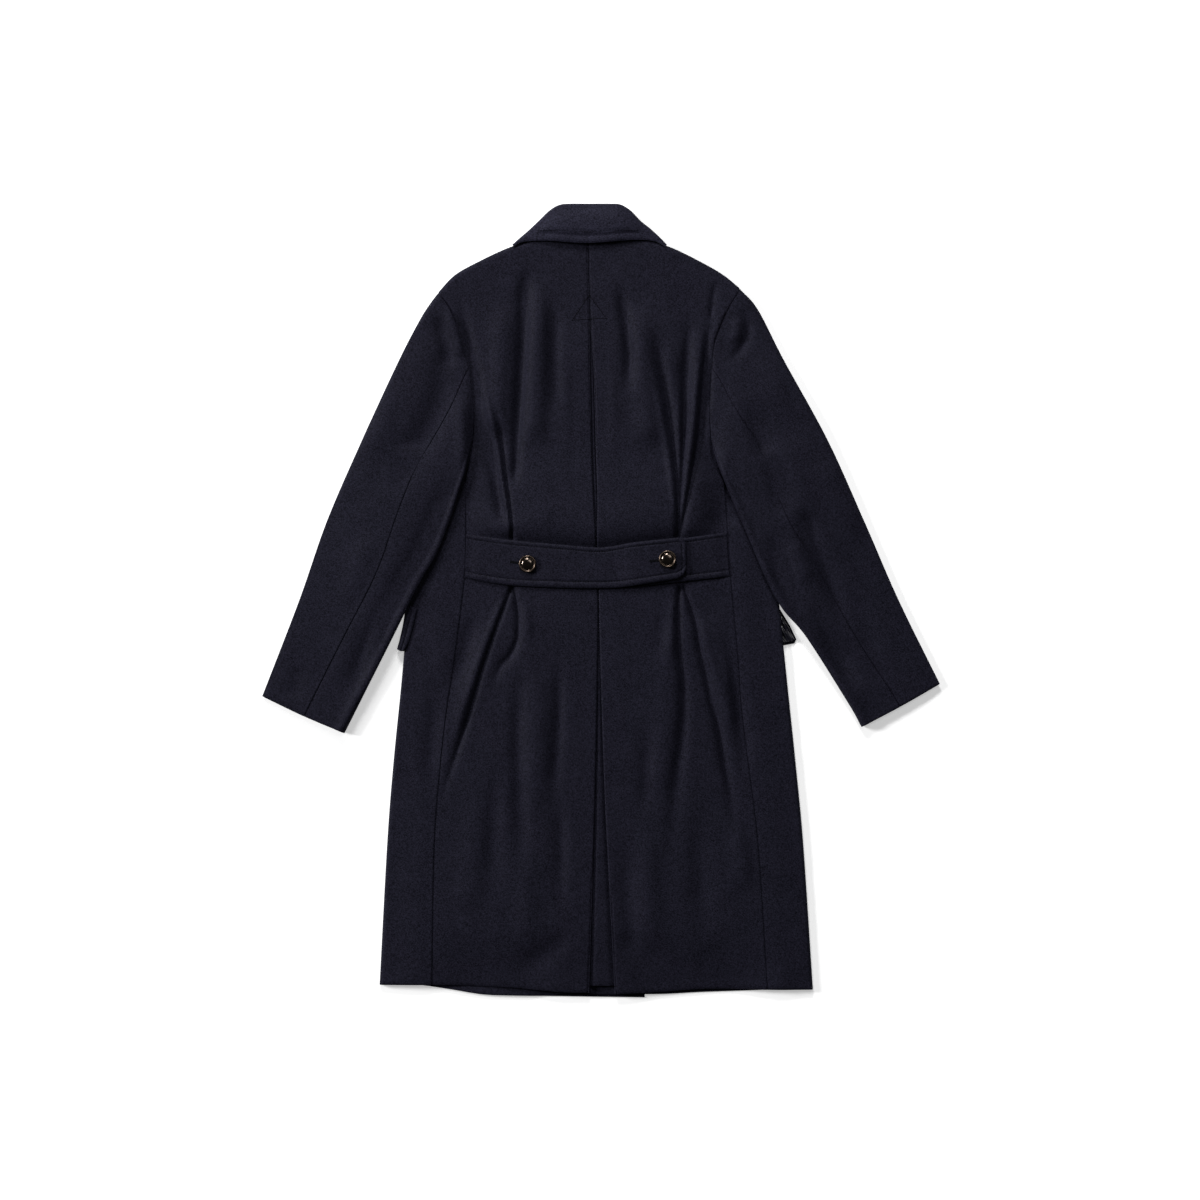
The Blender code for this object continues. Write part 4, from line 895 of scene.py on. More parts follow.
def front_panel(side, inner, upper_rows=60, lower_rows=190, strip_columns=26, flat_columns=22):
    curves = CURVES[side.name]
    edge_path = curves["edge"] + np.array((side.sign * CLOTH / 2, 0))
    fold_start = np.array((float(x_at(edge_path, UNDERARM_Y)) + side.sign * EDGE_RADIUS, UNDERARM_Y))
    flat_top, waist = upper_front(side, inner, fold_start, upper_rows, flat_columns)
    height = np.linspace(SEAM_TOP_Y, curves["seam"][-1, 1], lower_rows)
    edge_x = x_at(edge_path, height)
    lower_left = np.column_stack([edge_x + side.sign * EDGE_RADIUS, height])
    lower_left[0] = waist[0]
    hem = along(curves["front_hem"], np.linspace(0, 1, flat_columns))
    hem[0] = lower_left[-1]
    front_y = np.interp(height, [height[-1], LEVEL_TO_Y, SEAM_TOP_Y], [hem[-1][1], LEVEL_TO_Y, UNDERARM_Y])
    lower_right = np.column_stack([np.full(lower_rows, side.front_edge), front_y])
    lower = panel_plan(waist, hem, lower_left, lower_right)
    flat_z = front_height(lower[..., 0], lower[..., 1], inner) + hem_lift(lower[..., 0], lower[..., 1])
    flat_low = plan_with(lower[..., 0], lower[..., 1], flat_z)
    wrap = wrapped_side(side, inner, height, edge_x, strip_columns)
    wrap_columns = wrap.shape[1]
    nothing = np.zeros((len(flat_top), wrap_columns, 3))
    points = np.vstack([np.concatenate([nothing, flat_top], axis=1),
                        np.concatenate([wrap, flat_low], axis=1)])
    missing = np.zeros((len(points) - 1, points.shape[1] - 1), bool)
    missing[:len(flat_top), :wrap_columns] = True
    return cloth("front_cloth_" + side.name, points, missing=missing)


front_panel(LEFT, inner=False)
front_panel(RIGHT, inner=True)

# %% [markdown]
# A tailored sleeve is a tube of two pieces. Laid flat, the top sleeve rolls over the outer edge and the
# under sleeve over the inner one, and the back seam runs down between them. Sections across the sleeve
# are laid from armhole to cuff, each a flattened ring with round edges, and the sleeve's own creases
# press into its upper side.

# %% Sleeves
SLEEVE_LENGTH = 0.64
SLEEVE_THIN = 0.0035
SLEEVE_PRESSED = 0.0026
UNDER_LAP = 0.33
OUTER_ROUNDING = 0.0040
INNER_ROUNDING = 0.0018
INNER_RIM = 0.0021
SLEEVE_CREASES = {
    "left": [
        Crease([(-0.243, 0.375), (-0.231, 0.318), (-0.249, 0.256), (-0.293, 0.199), (-0.342, 0.146)],
               (0.020, 0.026), -0.0080, (0.25, 0.35)),
        Crease([(-0.216, 0.182), (-0.252, 0.088), (-0.285, 0.031), (-0.331, -0.056), (-0.388, -0.172)],
               (0.016, 0.018), -0.0064, (0.15, 0.25)),
        Crease([(-0.205, 0.305), (-0.201, 0.250), (-0.199, 0.190)], (0.010, 0.011), 0.0044, (0.30, 0.30)),
        Crease([(-0.290, 0.330), (-0.318, 0.262), (-0.345, 0.200)], (0.016, 0.018), 0.0026, (0.30, 0.30)),
        Crease([(-0.330, 0.110), (-0.352, 0.050), (-0.376, -0.010)],
               (0.018, 0.018), 0.0022, (0.35, 0.35)),
        Crease([(-0.440, -0.090), (-0.447, -0.120), (-0.452, -0.145)],
               (0.014, 0.014), -0.0024, (0.40, 0.20)),
        Crease([(-0.229, 0.432), (-0.211, 0.388), (-0.201, 0.350)], (0.007, 0.007), 0.0042, (0.30, 0.30)),
        Crease([(-0.243, 0.420), (-0.228, 0.380), (-0.221, 0.330)],
               (0.008, 0.012), -0.0052, (0.30, 0.30)),
    ],
    "right": [
        Crease([(0.210, 0.295), (0.232, 0.241), (0.256, 0.193), (0.270, 0.120)],
               (0.014, 0.015), -0.0072, (0.45, 0.25)),
        Crease([(0.205, 0.290), (0.262, 0.252), (0.330, 0.222)], (0.026, 0.034), -0.0028, (0.35, 0.35)),
        Crease([(0.246, 0.116), (0.261, 0.067), (0.275, 0.019), (0.304, -0.029), (0.350, -0.083),
                (0.384, -0.134)], (0.013, 0.017), -0.0088, (0.25, 0.25)),
        Crease([(0.297, 0.140), (0.307, 0.087), (0.333, 0.033), (0.367, -0.044)],
               (0.012, 0.014), -0.0072, (0.20, 0.40)),
        Crease([(0.318, 0.215), (0.352, 0.145), (0.380, 0.080)], (0.018, 0.020), 0.0036, (0.30, 0.35)),
        Crease([(0.275, 0.088), (0.292, 0.052), (0.306, 0.020)], (0.012, 0.012), 0.0026, (0.30, 0.35)),
        Crease([(0.230, 0.360), (0.252, 0.315), (0.268, 0.270)], (0.016, 0.018), 0.0024, (0.30, 0.35)),
        Crease([(0.206, 0.432), (0.215, 0.401), (0.210, 0.377), (0.194, 0.357), (0.180, 0.362)],
               (0.007, 0.008), -0.0042, (0.35, 0.35)),
        Crease([(0.198, 0.416), (0.197, 0.392), (0.188, 0.376)], (0.008, 0.008), 0.0032, (0.30, 0.35)),
        Crease([(0.352, 0.030), (0.385, -0.040), (0.415, -0.095)], (0.015, 0.015), -0.0022, (0.35, 0.35)),
    ],
}


def sleeve_plan(side, share, v):
    curves = CURVES[side.name]
    share, v = np.broadcast_arrays(np.asarray(share, float), np.asarray(v, float))
    top, bottom = along(curves["armhole"], share), along(curves["cuff"], share)
    outer, inner = along(curves["sleeve_outer"], v), along(curves["sleeve_inner"], v)
    s, w = share[..., None], v[..., None]
    corners = ((1 - w) * ((1 - s) * curves["armhole"][0] + s * curves["armhole"][-1])
               + w * ((1 - s) * curves["cuff"][0] + s * curves["cuff"][-1]))
    place = (1 - w) * top + w * bottom + (1 - s) * outer + s * inner - corners
    gap = 0.0005 + 0.0018 * smooth_step((share - 0.7) / 0.3) * (1 - smooth_step((v - 0.25) / 0.20))
    return place[..., 0] - side.sign * gap, place[..., 1]


def sleeve_seam_shares(side, rows):
    seam = CURVES[side.name]["sleeve_seam"]
    shares = np.linspace(0.2, 0.8, 401)
    found = []
    for v in np.linspace(0, 1, 41):
        x, y = sleeve_plan(side, shares, v)
        away = np.min(np.hypot(x[:, None] - seam[:, 0], y[:, None] - seam[:, 1]), axis=1)
        found.append(shares[int(np.argmin(away))])
    eased = np.convolve(np.pad(found, 2, mode="edge"), np.ones(5) / 5, mode="valid")
    return np.interp(rows, np.linspace(0, 1, 41), eased)


def sleeve_low(side, x, y):
    inside = side.sign * (x - x_at(CURVES[side.name]["edge"], y))
    start_y = 0.235 + 0.3 * np.maximum(side.sign * (side.lines["armhole"][-1][0] - x), 0)
    climb = smooth_step((start_y - y) / 0.055) * smooth_step((inside + 0.090) / 0.055)
    return CLOTH / 2 + np.maximum(floor_lift(x, y) * (1 - climb), SLEEVE_LIFT * climb)


def sleeve_high(side, x, y, low):
    inside = side.sign * (x - x_at(CURVES[side.name]["edge"], y))
    climb = smooth_step((0.410 - y) / 0.225) * smooth_step((inside + 0.140) / 0.130)
    eased = CLOTH / 2 + SLEEVE_LIFT * climb + SLEEVE_LOFT * (1 - 0.42 * climb)
    return held_above(eased, low + SLEEVE_THIN, 0.002)


def sleeve_points(side, distance, angle, v, width, seam):
    x, y = sleeve_plan(side, distance / width, v)
    low = sleeve_low(side, x, y)
    joined = smooth_step(v / 0.14)
    relief = sum(crease_height(crease, x, y) for crease in SLEEVE_CREASES[side.name])
    right_of_seam = side.sign * (distance - seam) > 0
    sewn = seam_step(np.abs(distance - seam), right_of_seam) + seam_step(v * SLEEVE_LENGTH, side is RIGHT)
    sewn = sewn - CUFF_TURN * bump((1 - v) * SLEEVE_LENGTH, EDGE_SOFT)
    from_inner = width - distance
    rounding = OUTER_ROUNDING * np.exp(-distance / 0.030) + INNER_ROUNDING * np.exp(-from_inner / 0.005)
    rim = INNER_RIM * bump(from_inner - 0.0080, 0.0070) * joined
    upper = smooth_step(np.sin(angle))
    high = back_height(x, y) * (1 - joined) + sleeve_high(side, x, y, low) * joined
    high = high + (relief + sewn + rim - rounding * joined + unevenness(x, y)) * upper
    high = held_above(high, low + SLEEVE_PRESSED, 0.0016)
    return plan_with(x, y, rolled(low, high, angle))


def sleeve(side, rows=170):
    v = np.concatenate([np.linspace(0, 0.02, 8), np.linspace(0.02, 0.985, rows)[1:],
                        np.linspace(0.985, 1, 7)[1:]])[:, None]
    section_x, section_y = sleeve_plan(side, np.linspace(0, 1, 40)[None, :], v)
    width = np.sum(np.hypot(np.diff(section_x, axis=1), np.diff(section_y, axis=1)), axis=1)[:, None]
    seam = width * sleeve_seam_shares(side, v[:, 0])[:, None]
    up = math.pi / 2
    bend = np.linspace(1.25, -1.25, 10)[None, :]
    bend_at = CLOTH / 2 + EDGE_RADIUS * (1 - np.cos(bend)) + 0 * v
    start = CLOTH / 2 + EDGE_RADIUS

    half_gap = SEAM_GAP / 2
    outer = start + (seam - half_gap - start) * np.linspace(0, 1, 40)
    hidden = start + (seam - SEAM_GAP - start) * np.linspace(0, 1, 10)
    inner = seam + half_gap + (width - start - seam - half_gap) * np.linspace(0, 1, 32)
    under = seam + SEAM_GAP + (width - start - seam) * np.array([UNDER_LAP])
    distance = np.hstack([outer[:, ::-1], bend_at, hidden, under])
    angle = np.hstack([np.full(outer.shape, up), bend + 0 * v, np.full(hidden.shape, -up),
                       np.full(under.shape, -up)])
    points = sleeve_points(side, distance, angle, v, width, seam)
    # Both sleeve pieces wear the darker copy of the wool, painted shade.
    cloth("top_sleeve_cloth_" + side.name, points, material=SLEEVE_WOOL_PAINTED_SHADE)

    back_end = seam + UNDER_LAP * (width - start - seam)
    back = (width - start) + (back_end - (width - start)) * np.linspace(0, 1, 9)
    distance = np.hstack([inner, width - bend_at, back])
    angle = np.hstack([np.full(inner.shape, up), bend + 0 * v, np.full(back.shape, -up)])
    points = sleeve_points(side, distance, angle, v, width, seam)
    cloth("under_sleeve_cloth_" + side.name, points, material=SLEEVE_WOOL_PAINTED_SHADE)


for side in SIDES:
    sleeve(side)

# %% [markdown]
# The collar is one piece that rolls over at the top of the coat, with a stand below it down to the neck
# seam. Its lower edge lies free on the back, so it stands off and throws the dark line that sets the
# collar apart. A row of stitching runs some way above that edge and presses a soft groove between them.

# %% Collar
COLLAR_ROLL = [(-0.129, 0.5200), (-0.119, 0.529), (-0.104, 0.542), (-0.089, 0.556), (-0.074, 0.570),
               (-0.060, 0.5775), (-0.045, 0.579), (-0.017, 0.579), (0.013, 0.579), (0.028, 0.578),
               (0.042, 0.570), (0.057, 0.555), (0.072, 0.543), (0.086, 0.530), (0.0955, 0.5200)]
COLLAR_EDGE = [(-0.128, 0.5165), (-0.113, 0.5240), (-0.079, 0.5258), (-0.020, 0.522), (0.047, 0.5268),
               (0.079, 0.5250), (0.0945, 0.5165)]
COLLAR_SEAM = [(-0.108, 0.494), (-0.100, 0.503), (-0.088, 0.519), (-0.074, 0.5320), (-0.050, 0.5345),
               (-0.019, 0.5350), (0.012, 0.5345), (0.040, 0.5320), (0.057, 0.519), (0.067, 0.503),
               (0.075, 0.494)]
COLLAR_STITCH_IN = 0.0165
COLLAR_EDGE_HIGH, COLLAR_EDGE_RISE = 0.0150, 0.0052
COLLAR_HIGH, COLLAR_RISE = 0.0145, 0.0015
COLLAR_UNDER_RISE = 0.0085
COLLAR_SEAM_RISE = 0.0075


def collar_centre(x):
    return smooth_step((0.095 - np.abs(x - CENTRE_X)) / 0.055)


def collar_relief(share, reach, centre):
    from_edge = reach * share
    past_stitch = (reach - from_edge) / np.maximum(reach - COLLAR_STITCH_IN, 0.010)
    sewn_rise = np.clip(np.minimum(from_edge / COLLAR_STITCH_IN, past_stitch), 0, 1)
    groove = bump(from_edge - COLLAR_STITCH_IN, 0.0014)
    dip = bump(from_edge - 0.0105, 0.0034)
    fullness = np.sin(math.pi * np.clip((share - 0.28) / 0.72, 0, 1)) ** 1.5
    risen = 0.0036 * sewn_rise - 0.0008 * groove - 0.0017 * dip + 0.0016 * fullness
    return risen * centre - 0.0008 * bump(from_edge, 0.0016)


def collar(columns=150):
    where = np.linspace(0, 1, columns)
    lines = (COLLAR_ROLL, COLLAR_EDGE, COLLAR_SEAM)
    roll, edge, seam = (along(smooth_path(points), where) for points in lines)
    tangent = np.gradient(roll, axis=0)
    inward = np.column_stack([tangent[:, 1], -tangent[:, 0]])
    inward /= np.linalg.norm(inward, axis=1)[:, None]
    centre = collar_centre(roll[:, 0])
    seam_centre = smooth_step((0.085 - np.abs(seam[:, 0] - CENTRE_X)) / 0.045)
    edge_high = COLLAR_EDGE_HIGH + COLLAR_EDGE_RISE * centre
    high = COLLAR_HIGH + COLLAR_RISE * centre
    low = CLOTH / 2 + LAYER_GAP + COLLAR_UNDER_RISE * centre
    radius = np.minimum((high - low) / 2, 0.5 * np.linalg.norm(edge - roll, axis=1))
    start = roll + inward * radius[:, None]
    share = np.concatenate([np.linspace(0, 0.06, 5), np.linspace(0.06, 1, 30)[1:]])
    face = edge[:, None] + (start - edge)[:, None] * share[None, :, None]
    reach = np.linalg.norm(start - edge, axis=1)[:, None]
    face_z = edge_high[:, None] + (high - edge_high)[:, None] * share
    face_z = face_z + collar_relief(share, reach, centre[:, None]) + unevenness(face[..., 0], face[..., 1])
    turning = np.array([1.25, 0.9, 0.55, 0.2, -0.2, -0.55, -0.9, -1.25, -1.45])
    round_plan = roll[:, None] + inward[:, None] * (radius[:, None] * (1 - np.cos(turning)))[..., None]
    round_z = rolled(low[:, None], high[:, None], turning)
    fall = np.concatenate([plan_with(face[..., 0], face[..., 1], face_z),
                           plan_with(round_plan[..., 0], round_plan[..., 1], round_z)], axis=1)
    # The collar fall wears the paler copy of the wool, painted light.
    cloth("collar_fall_cloth", fall, COLLAR_SHEET, COLLAR_WOOL_PAINTED_LIGHT)
    steps = np.linspace(0, 1, 8)
    under = start + inward * SEAM_GAP * 3
    plan = under[:, None] + (seam - under)[:, None] * steps[None, :, None]
    seam_low = CLOTH / 2 + LAYER_GAP + COLLAR_SEAM_RISE * seam_centre
    stand_z = low[:, None] + (seam_low - low)[:, None] * steps
    cloth("collar_stand_cloth", plan_with(plan[..., 0], plan[..., 1], stand_z))


collar()

# %% [markdown]
# The half belt is double cloth with its edges turned in and stitched through. The long piece comes from
# the left side seam and ends round over the short one. Its lower edge stands off the back. The stitched
# lines pull the two layers together, so the rim between stitching and edge stays a little fuller.

# %% Half belt
BELT_END_X = 0.1237
BELT_END_ROUND = 0.014
SHORT_BELT_START_X = 0.062
SHORT_BELT_LENGTH = 0.121
BELT_STANDS_OFF = 0.0010
BELT_GROOVE = 0.0011
BELT_FULLER = 0.0008
BELT_RIM_FALL = 0.0008
BELT_STITCH_LIFT = 0.0009
BELT_STITCH_TOP = 0.0055
BELT_STITCH_BOTTOM = 0.0090


def belt_height(x, y, short=False):
    up = (y - y_at(BELT_BOTTOM, x)) / (y_at(BELT_TOP, x) - y_at(BELT_BOTTOM, x))
    base = back_base(x, BELT_Y + 0 * x) + CLOTH / 2 + LAYER_GAP + DOUBLE_CLOTH / 2
    if short:
        return base
    lap = smooth_step((x - SHORT_BELT_START_X + 0.045) / 0.035)
    stands_off = BELT_STANDS_OFF * (1 - up) * smooth_step((x + 0.19) / 0.06)
    return base + lap * (DOUBLE_CLOTH + LAYER_GAP) + stands_off


def belt_relief(to_top, to_bottom, to_end):
    rim = np.minimum(np.minimum(to_top, to_bottom), to_end)
    top_line = np.minimum(to_top, to_end)
    groove = 0.7 * bump(top_line - BELT_STITCH_TOP, 0.0011) + bump(to_bottom - BELT_STITCH_BOTTOM, 0.0014)
    fuller = bump(to_bottom - 0.0045, 0.0030) + 0.5 * bump(top_line - 0.0025, 0.0020)
    return -BELT_GROOVE * groove + BELT_FULLER * fuller - BELT_RIM_FALL * bump(rim, 0.0010)


def short_belt_edges(share):
    return 0.022 + 0.014 * share, 0.083 + 0.017 * share


def across_belt(low_y, high_y, steps):
    return low_y + (high_y - low_y) * steps


RIM_STEPS = np.concatenate([np.linspace(0, 0.05, 5), np.linspace(0.05, 0.95, 44)[1:-1],
                            np.linspace(0.95, 1, 5)])


def half_belt():
    share = np.concatenate([np.linspace(0, 0.955, 170), np.linspace(0.955, 0.9995, 24)[1:]])[:, None]
    first_x = BELT_BOTTOM[0, 0] + (BELT_TOP[0, 0] - BELT_BOTTOM[0, 0]) * RIM_STEPS[None, :] + SEAM_GAP
    x = first_x + (BELT_END_X - first_x) * share
    past = np.clip((x - (BELT_END_X - BELT_END_ROUND)) / BELT_END_ROUND, 0, 0.9995)
    inset = BELT_END_ROUND * (1 - np.sqrt(1 - past ** 2))
    low_y, high_y = y_at(BELT_BOTTOM, x) + inset, y_at(BELT_TOP, x) - inset
    y = across_belt(low_y, high_y, RIM_STEPS[None, :])
    relief = belt_relief(high_y - y, y - low_y, BELT_END_X - x)
    z = belt_height(x, y) + relief - belt_end_dip(x - first_x) + unevenness(x, y)
    # Both belt pieces wear the darker copy of the wool, painted shade.
    cloth("long_belt_cloth", plan_with(x, y, z), DOUBLED_SHEET, BELT_WOOL_PAINTED_SHADE)

    seam = CURVES["right"]["seam"]
    share = np.linspace(0, 1, 70)[:, None]
    low_y, high_y = short_belt_edges(share)
    y = across_belt(low_y, high_y, RIM_STEPS[None, :])
    x = SHORT_BELT_START_X + (x_at(seam, y) - SEAM_GAP - SHORT_BELT_START_X) * share
    relief = belt_relief(high_y - y, y - low_y, 0.1 + 0 * x)
    z = belt_height(x, y, True) + relief - belt_end_dip(x_at(seam, y) - x) + unevenness(x, y)
    cloth("short_belt_cloth", plan_with(x, y, z), DOUBLED_SHEET, BELT_WOOL_PAINTED_SHADE)


half_belt()

# %% [markdown]
# The pocket flaps belong to the fronts, which are underneath. The left one is pulled round the side and
# shows as a wrapped edge; the right one flares out past the coat and shows its satin lining inside a rim
# of wool. The two lapels are out of sight below, and are plain leaves of doubled cloth.

# %% Pocket flaps and lapels
LEFT_FLAP_EDGE = [(-0.2848, -0.006), (-0.2885, -0.033), (-0.2935, -0.056), (-0.2975, -0.074)]
LEFT_FLAP_TOP_END = [(-0.2688, -0.012), (-0.2742, -0.034), (-0.2800, -0.055), (-0.2862, -0.073)]
LEFT_FLAP_LENGTH = 0.105
LEFT_FLAP_SINKS = 0.0022
LEFT_FLAP_UPPER_Z = 0.008
RIGHT_FLAP_Z = 0.0010
SATIN_Z = 0.0028
LAPEL_Z = 0.0015


def left_flap(rows=44):
    where = np.linspace(0, 1, rows)
    edge = along(smooth_path(LEFT_FLAP_EDGE), where)
    top_end = along(smooth_path(LEFT_FLAP_TOP_END), where)
    low, high = CLOTH / 2, BODY_TOP - LEFT_FLAP_SINKS + CLOTH + LAYER_GAP
    radius = (high - low) / 2 - 0.001
    start_x = np.minimum(edge[:, 0] + radius, top_end[:, 0] - 0.001)
    steps = np.linspace(0, 1, 14)
    face_x = top_end[:, :1] + (start_x[:, None] - top_end[:, :1]) * steps
    face_y = top_end[:, 1:] + (edge[:, 1:] - top_end[:, 1:]) * steps
    from_end = np.abs(face_x - top_end[:, :1])
    face_z = high - 0.0010 * bump(from_end - 0.006, 0.0013) - 0.0008 * bump(from_end, 0.0012)
    turning = np.linspace(1.2, -1.2, 9)
    round_x = edge[:, :1] + radius * (1 - np.cos(turning))
    hidden = np.linspace(0, 1, 12)
    under_x = edge[:, :1] + radius + LEFT_FLAP_LENGTH * hidden
    x = np.hstack([face_x, round_x, under_x])
    y = np.hstack([face_y, np.repeat(edge[:, 1:], len(turning) + len(hidden), axis=1)])
    round_z = np.repeat(rolled(low, high, turning)[None, :], rows, axis=0)
    z = np.hstack([face_z, round_z, np.full(under_x.shape, low)])
    corner = bump(x - edge[:, :1], 0.0035) + bump(x - top_end[:, :1], 0.0035) * (z > LEFT_FLAP_UPPER_Z)
    y = y + 0.0032 * corner * smooth_step((where[:, None] - 0.75) / 0.25)
    return cloth("left_flap_cloth", plan_with(x, y, z))


def leaf(name, first, second, middle, thickness, material=WOOL, rows=40, columns=40, ripple=0.0):
    where = np.linspace(0, 1, rows)
    a, b = along(np.array(first), where), along(np.array(second), where)
    plan = a[:, None] + (b - a)[:, None] * np.linspace(0, 1, columns)[None, :, None]
    x, y = plan[..., 0], plan[..., 1]
    waves = np.sin(2 * math.pi * (0.87 * x + 0.49 * y) / 0.0065)
    waves = waves + 0.5 * np.sin(2 * math.pi * (0.6 * x + 0.8 * y) / 0.011)
    z = middle + ripple * (1.5 + waves) * smooth_step((x - 0.262) / 0.006)
    return cloth(name, plan_with(x, y, z), thickness, material)


left_flap()
leaf("right_flap_cloth", evened([(0.156, -0.018), (0.262, -0.012), (0.2765, -0.036)]),
     evened([(0.160, -0.071), (0.267, -0.065), (0.283, -0.062), (0.286, -0.056)]), RIGHT_FLAP_Z, WOOL_SHEET)
leaf("right_flap_satin", evened([(0.159, -0.021), (0.2615, -0.016), (0.2745, -0.038)]),
     evened([(0.163, -0.067), (0.267, -0.0615), (0.280, -0.0585), (0.2825, -0.0555)]), SATIN_Z,
     SATIN_SHEET, SATIN, rows=220, columns=60, ripple=0.0010)
leaf("left_lapel_cloth", evened([(-0.098, 0.495), (0.057, 0.196)]),
     evened([(-0.152, 0.413), (-0.140, 0.374), (0.058, 0.194)]), LAPEL_Z, DOUBLED_SHEET)
leaf("right_lapel_cloth", evened([(0.066, 0.495), (0.000, 0.330), (0.025, 0.282)]),
     evened([(0.139, 0.413), (0.130, 0.374), (0.026, 0.280)]), LAPEL_Z, DOUBLED_SHEET)

# %% [markdown]
# The buttons are turned and plated: a bronze rim, a ring groove, and a dark polished dome. A turned shape
# is one profile spun round its axis, so the profile is spun here in fine steps, and the faces of the dome
# take their own metal. The solids already hold the right place and size, so each button is set from its
# solid's box.

# %% Button metals
def metal(name, base, worn, roughness, wear_scale):
    material = bpy.data.materials.new(name)
    material.use_nodes = True
    tree = material.node_tree
    shader = tree.nodes["Principled BSDF"]
    place = add_node(tree, "ShaderNodeTexCoord").outputs["Object"]
    wear = add_noise(tree, place, wear_scale, 5, 0.65)
    tone = add_node(tree, "ShaderNodeMix", data_type="RGBA")
    set_inputs(tone, {"A": (*base, 1), "B": (*worn, 1)})
    tree.links.new(wear, tone.inputs["Factor"])
    tree.links.new(tone.outputs["Result"], shader.inputs["Base Color"])
    polish = add_node(tree, "ShaderNodeMapRange")
    set_inputs(polish, {"To Min": roughness * 0.7, "To Max": roughness * 1.4})
    tree.links.new(wear, polish.inputs["Value"])
    tree.links.new(polish.outputs["Result"], shader.inputs["Roughness"])
    set_inputs(shader, {"Metallic": 1.0})
    return material


BRONZE = metal("bronze_rim", (0.052, 0.039, 0.031), (0.110, 0.083, 0.065), roughness=0.30, wear_scale=900)
GUNMETAL = metal("gunmetal_dome", (0.085, 0.066, 0.053), (0.150, 0.120, 0.100),
                 roughness=0.17, wear_scale=700)

# %% Buttons
BUTTON_PROFILE = [(0.0, 0.0), (0.0098, 0.0), (0.0114, 0.0003), (0.0122, 0.0008), (0.01265, 0.0015),
                  (0.0127, 0.0021), (0.0125, 0.0028), (0.0120, 0.0033), (0.0113, 0.0035),
                  (0.0106, 0.0034), (0.0100, 0.0030), (0.0097, 0.0025), (0.0093, 0.0021),
                  (0.0088, 0.0021), (0.0084, 0.0025), (0.0079, 0.0029), (0.0070, 0.0034),
                  (0.0056, 0.0038), (0.0038, 0.0041), (0.0018, 0.0042), (0.0, 0.0042)]
DOME_RADIUS = 0.0090
DOME_FOOT = 0.0012
BUTTON_SIDES = 48


def button(name, node, flipped):
    low, high = (np.array(corner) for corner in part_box(node))
    middle = (low + high) / 2
    tall = (high[2] - low[2]) / BUTTON_PROFILE[-1][1]
    shape = bmesh.new()
    rings = []
    for radius, height in BUTTON_PROFILE:
        z = high[2] - height * tall if flipped else low[2] + height * tall
        if radius == 0:
            rings.append([shape.verts.new((middle[0], middle[1], z))])
            continue
        turns = [2 * math.pi * k / BUTTON_SIDES for k in range(BUTTON_SIDES)]
        corners = [(middle[0] + radius * math.cos(a), middle[1] + radius * math.sin(a), z) for a in turns]
        rings.append([shape.verts.new(corner) for corner in corners])
    for lower, upper in zip(rings, rings[1:]):
        for k in range(BUTTON_SIDES):
            ends = [lower[k % len(lower)], lower[(k + 1) % len(lower)]]
            ends += [upper[(k + 1) % len(upper)], upper[k % len(upper)]]
            shape.faces.new(list(dict.fromkeys(ends)))
    bmesh.ops.recalc_face_normals(shape, faces=shape.faces)
    plain = bpy.data.meshes.new(name)
    shape.to_mesh(plain)
    shape.free()
    plain.materials.append(BRONZE)
    plain.materials.append(GUNMETAL)
    for face in plain.polygons:
        centre = np.array(face.center)
        out = math.hypot(centre[0] - middle[0], centre[1] - middle[1])
        above = high[2] - centre[2] if flipped else centre[2] - low[2]
        face.material_index = 1 if out < DOME_RADIUS and above > DOME_FOOT * tall else 0
    plain.shade_smooth()
    piece = bpy.data.objects.new(name, plain)
    bpy.context.collection.objects.link(piece)
    PIECES[name] = Cloth(piece, None)
    return piece


BUTTON_NODES = [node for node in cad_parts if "button" in node]
for node in BUTTON_NODES:
    button(node.replace("button", "turned_button"), node, node.startswith("front"))
print(len(BUTTON_NODES), "buttons of", len(BUTTON_PROFILE), "rings")

# %% [markdown]
# Stitches repeat along a path, which is work for Geometry Nodes. The path is a string of points on the
# cloth; the tree turns it into a curve, spaces points along it, and sets a short thread on each, turned
# to the curve and slightly uneven. The result is kept as a plain mesh.

# %% Geometry Nodes tree for a run of stitches
SWAY = 0.10
run = bpy.data.node_groups.new("Run of stitches", "GeometryNodeTree")
run.interface.new_socket("Geometry", in_out="INPUT", socket_type="NodeSocketGeometry")
RUN_INPUTS = {}
for label, kind in (("Spacing", "NodeSocketFloat"), ("Stitch length", "NodeSocketFloat"),
                    ("Thread width", "NodeSocketFloat"), ("Turn", "NodeSocketFloat"),
                    ("Seed", "NodeSocketInt"), ("Thread", "NodeSocketMaterial")):
    RUN_INPUTS[label] = run.interface.new_socket(label, in_out="INPUT", socket_type=kind).identifier
run.interface.new_socket("Geometry", in_out="OUTPUT", socket_type="NodeSocketGeometry")
run_in, run_out = add_node(run, "NodeGroupInput"), add_node(run, "NodeGroupOutput")
to_curve = add_node(run, "GeometryNodeMeshToCurve")
spaced = add_node(run, "GeometryNodeResampleCurve", mode="LENGTH")
heading = add_node(run, "FunctionNodeAlignRotationToVector", axis="X")
tangent = add_node(run, "GeometryNodeInputTangent")
sway = add_node(run, "FunctionNodeRandomValue", data_type="FLOAT")
sway.inputs["Min"].default_value = -SWAY
sway.inputs["Max"].default_value = SWAY
angle_sum = add_node(run, "ShaderNodeMath", operation="ADD")
angle_vector = add_node(run, "ShaderNodeCombineXYZ")
angle_turn = add_node(run, "FunctionNodeEulerToRotation")
turned = add_node(run, "FunctionNodeRotateRotation", rotation_space="LOCAL")
thread_form = add_node(run, "GeometryNodeMeshUVSphere")
set_inputs(thread_form, {"Segments": 6, "Rings": 5, "Radius": 0.5})
thread_size = add_node(run, "ShaderNodeCombineXYZ")
placed = add_node(run, "GeometryNodeInstanceOnPoints")
solid = add_node(run, "GeometryNodeRealizeInstances")
dyed = add_node(run, "GeometryNodeSetMaterial")
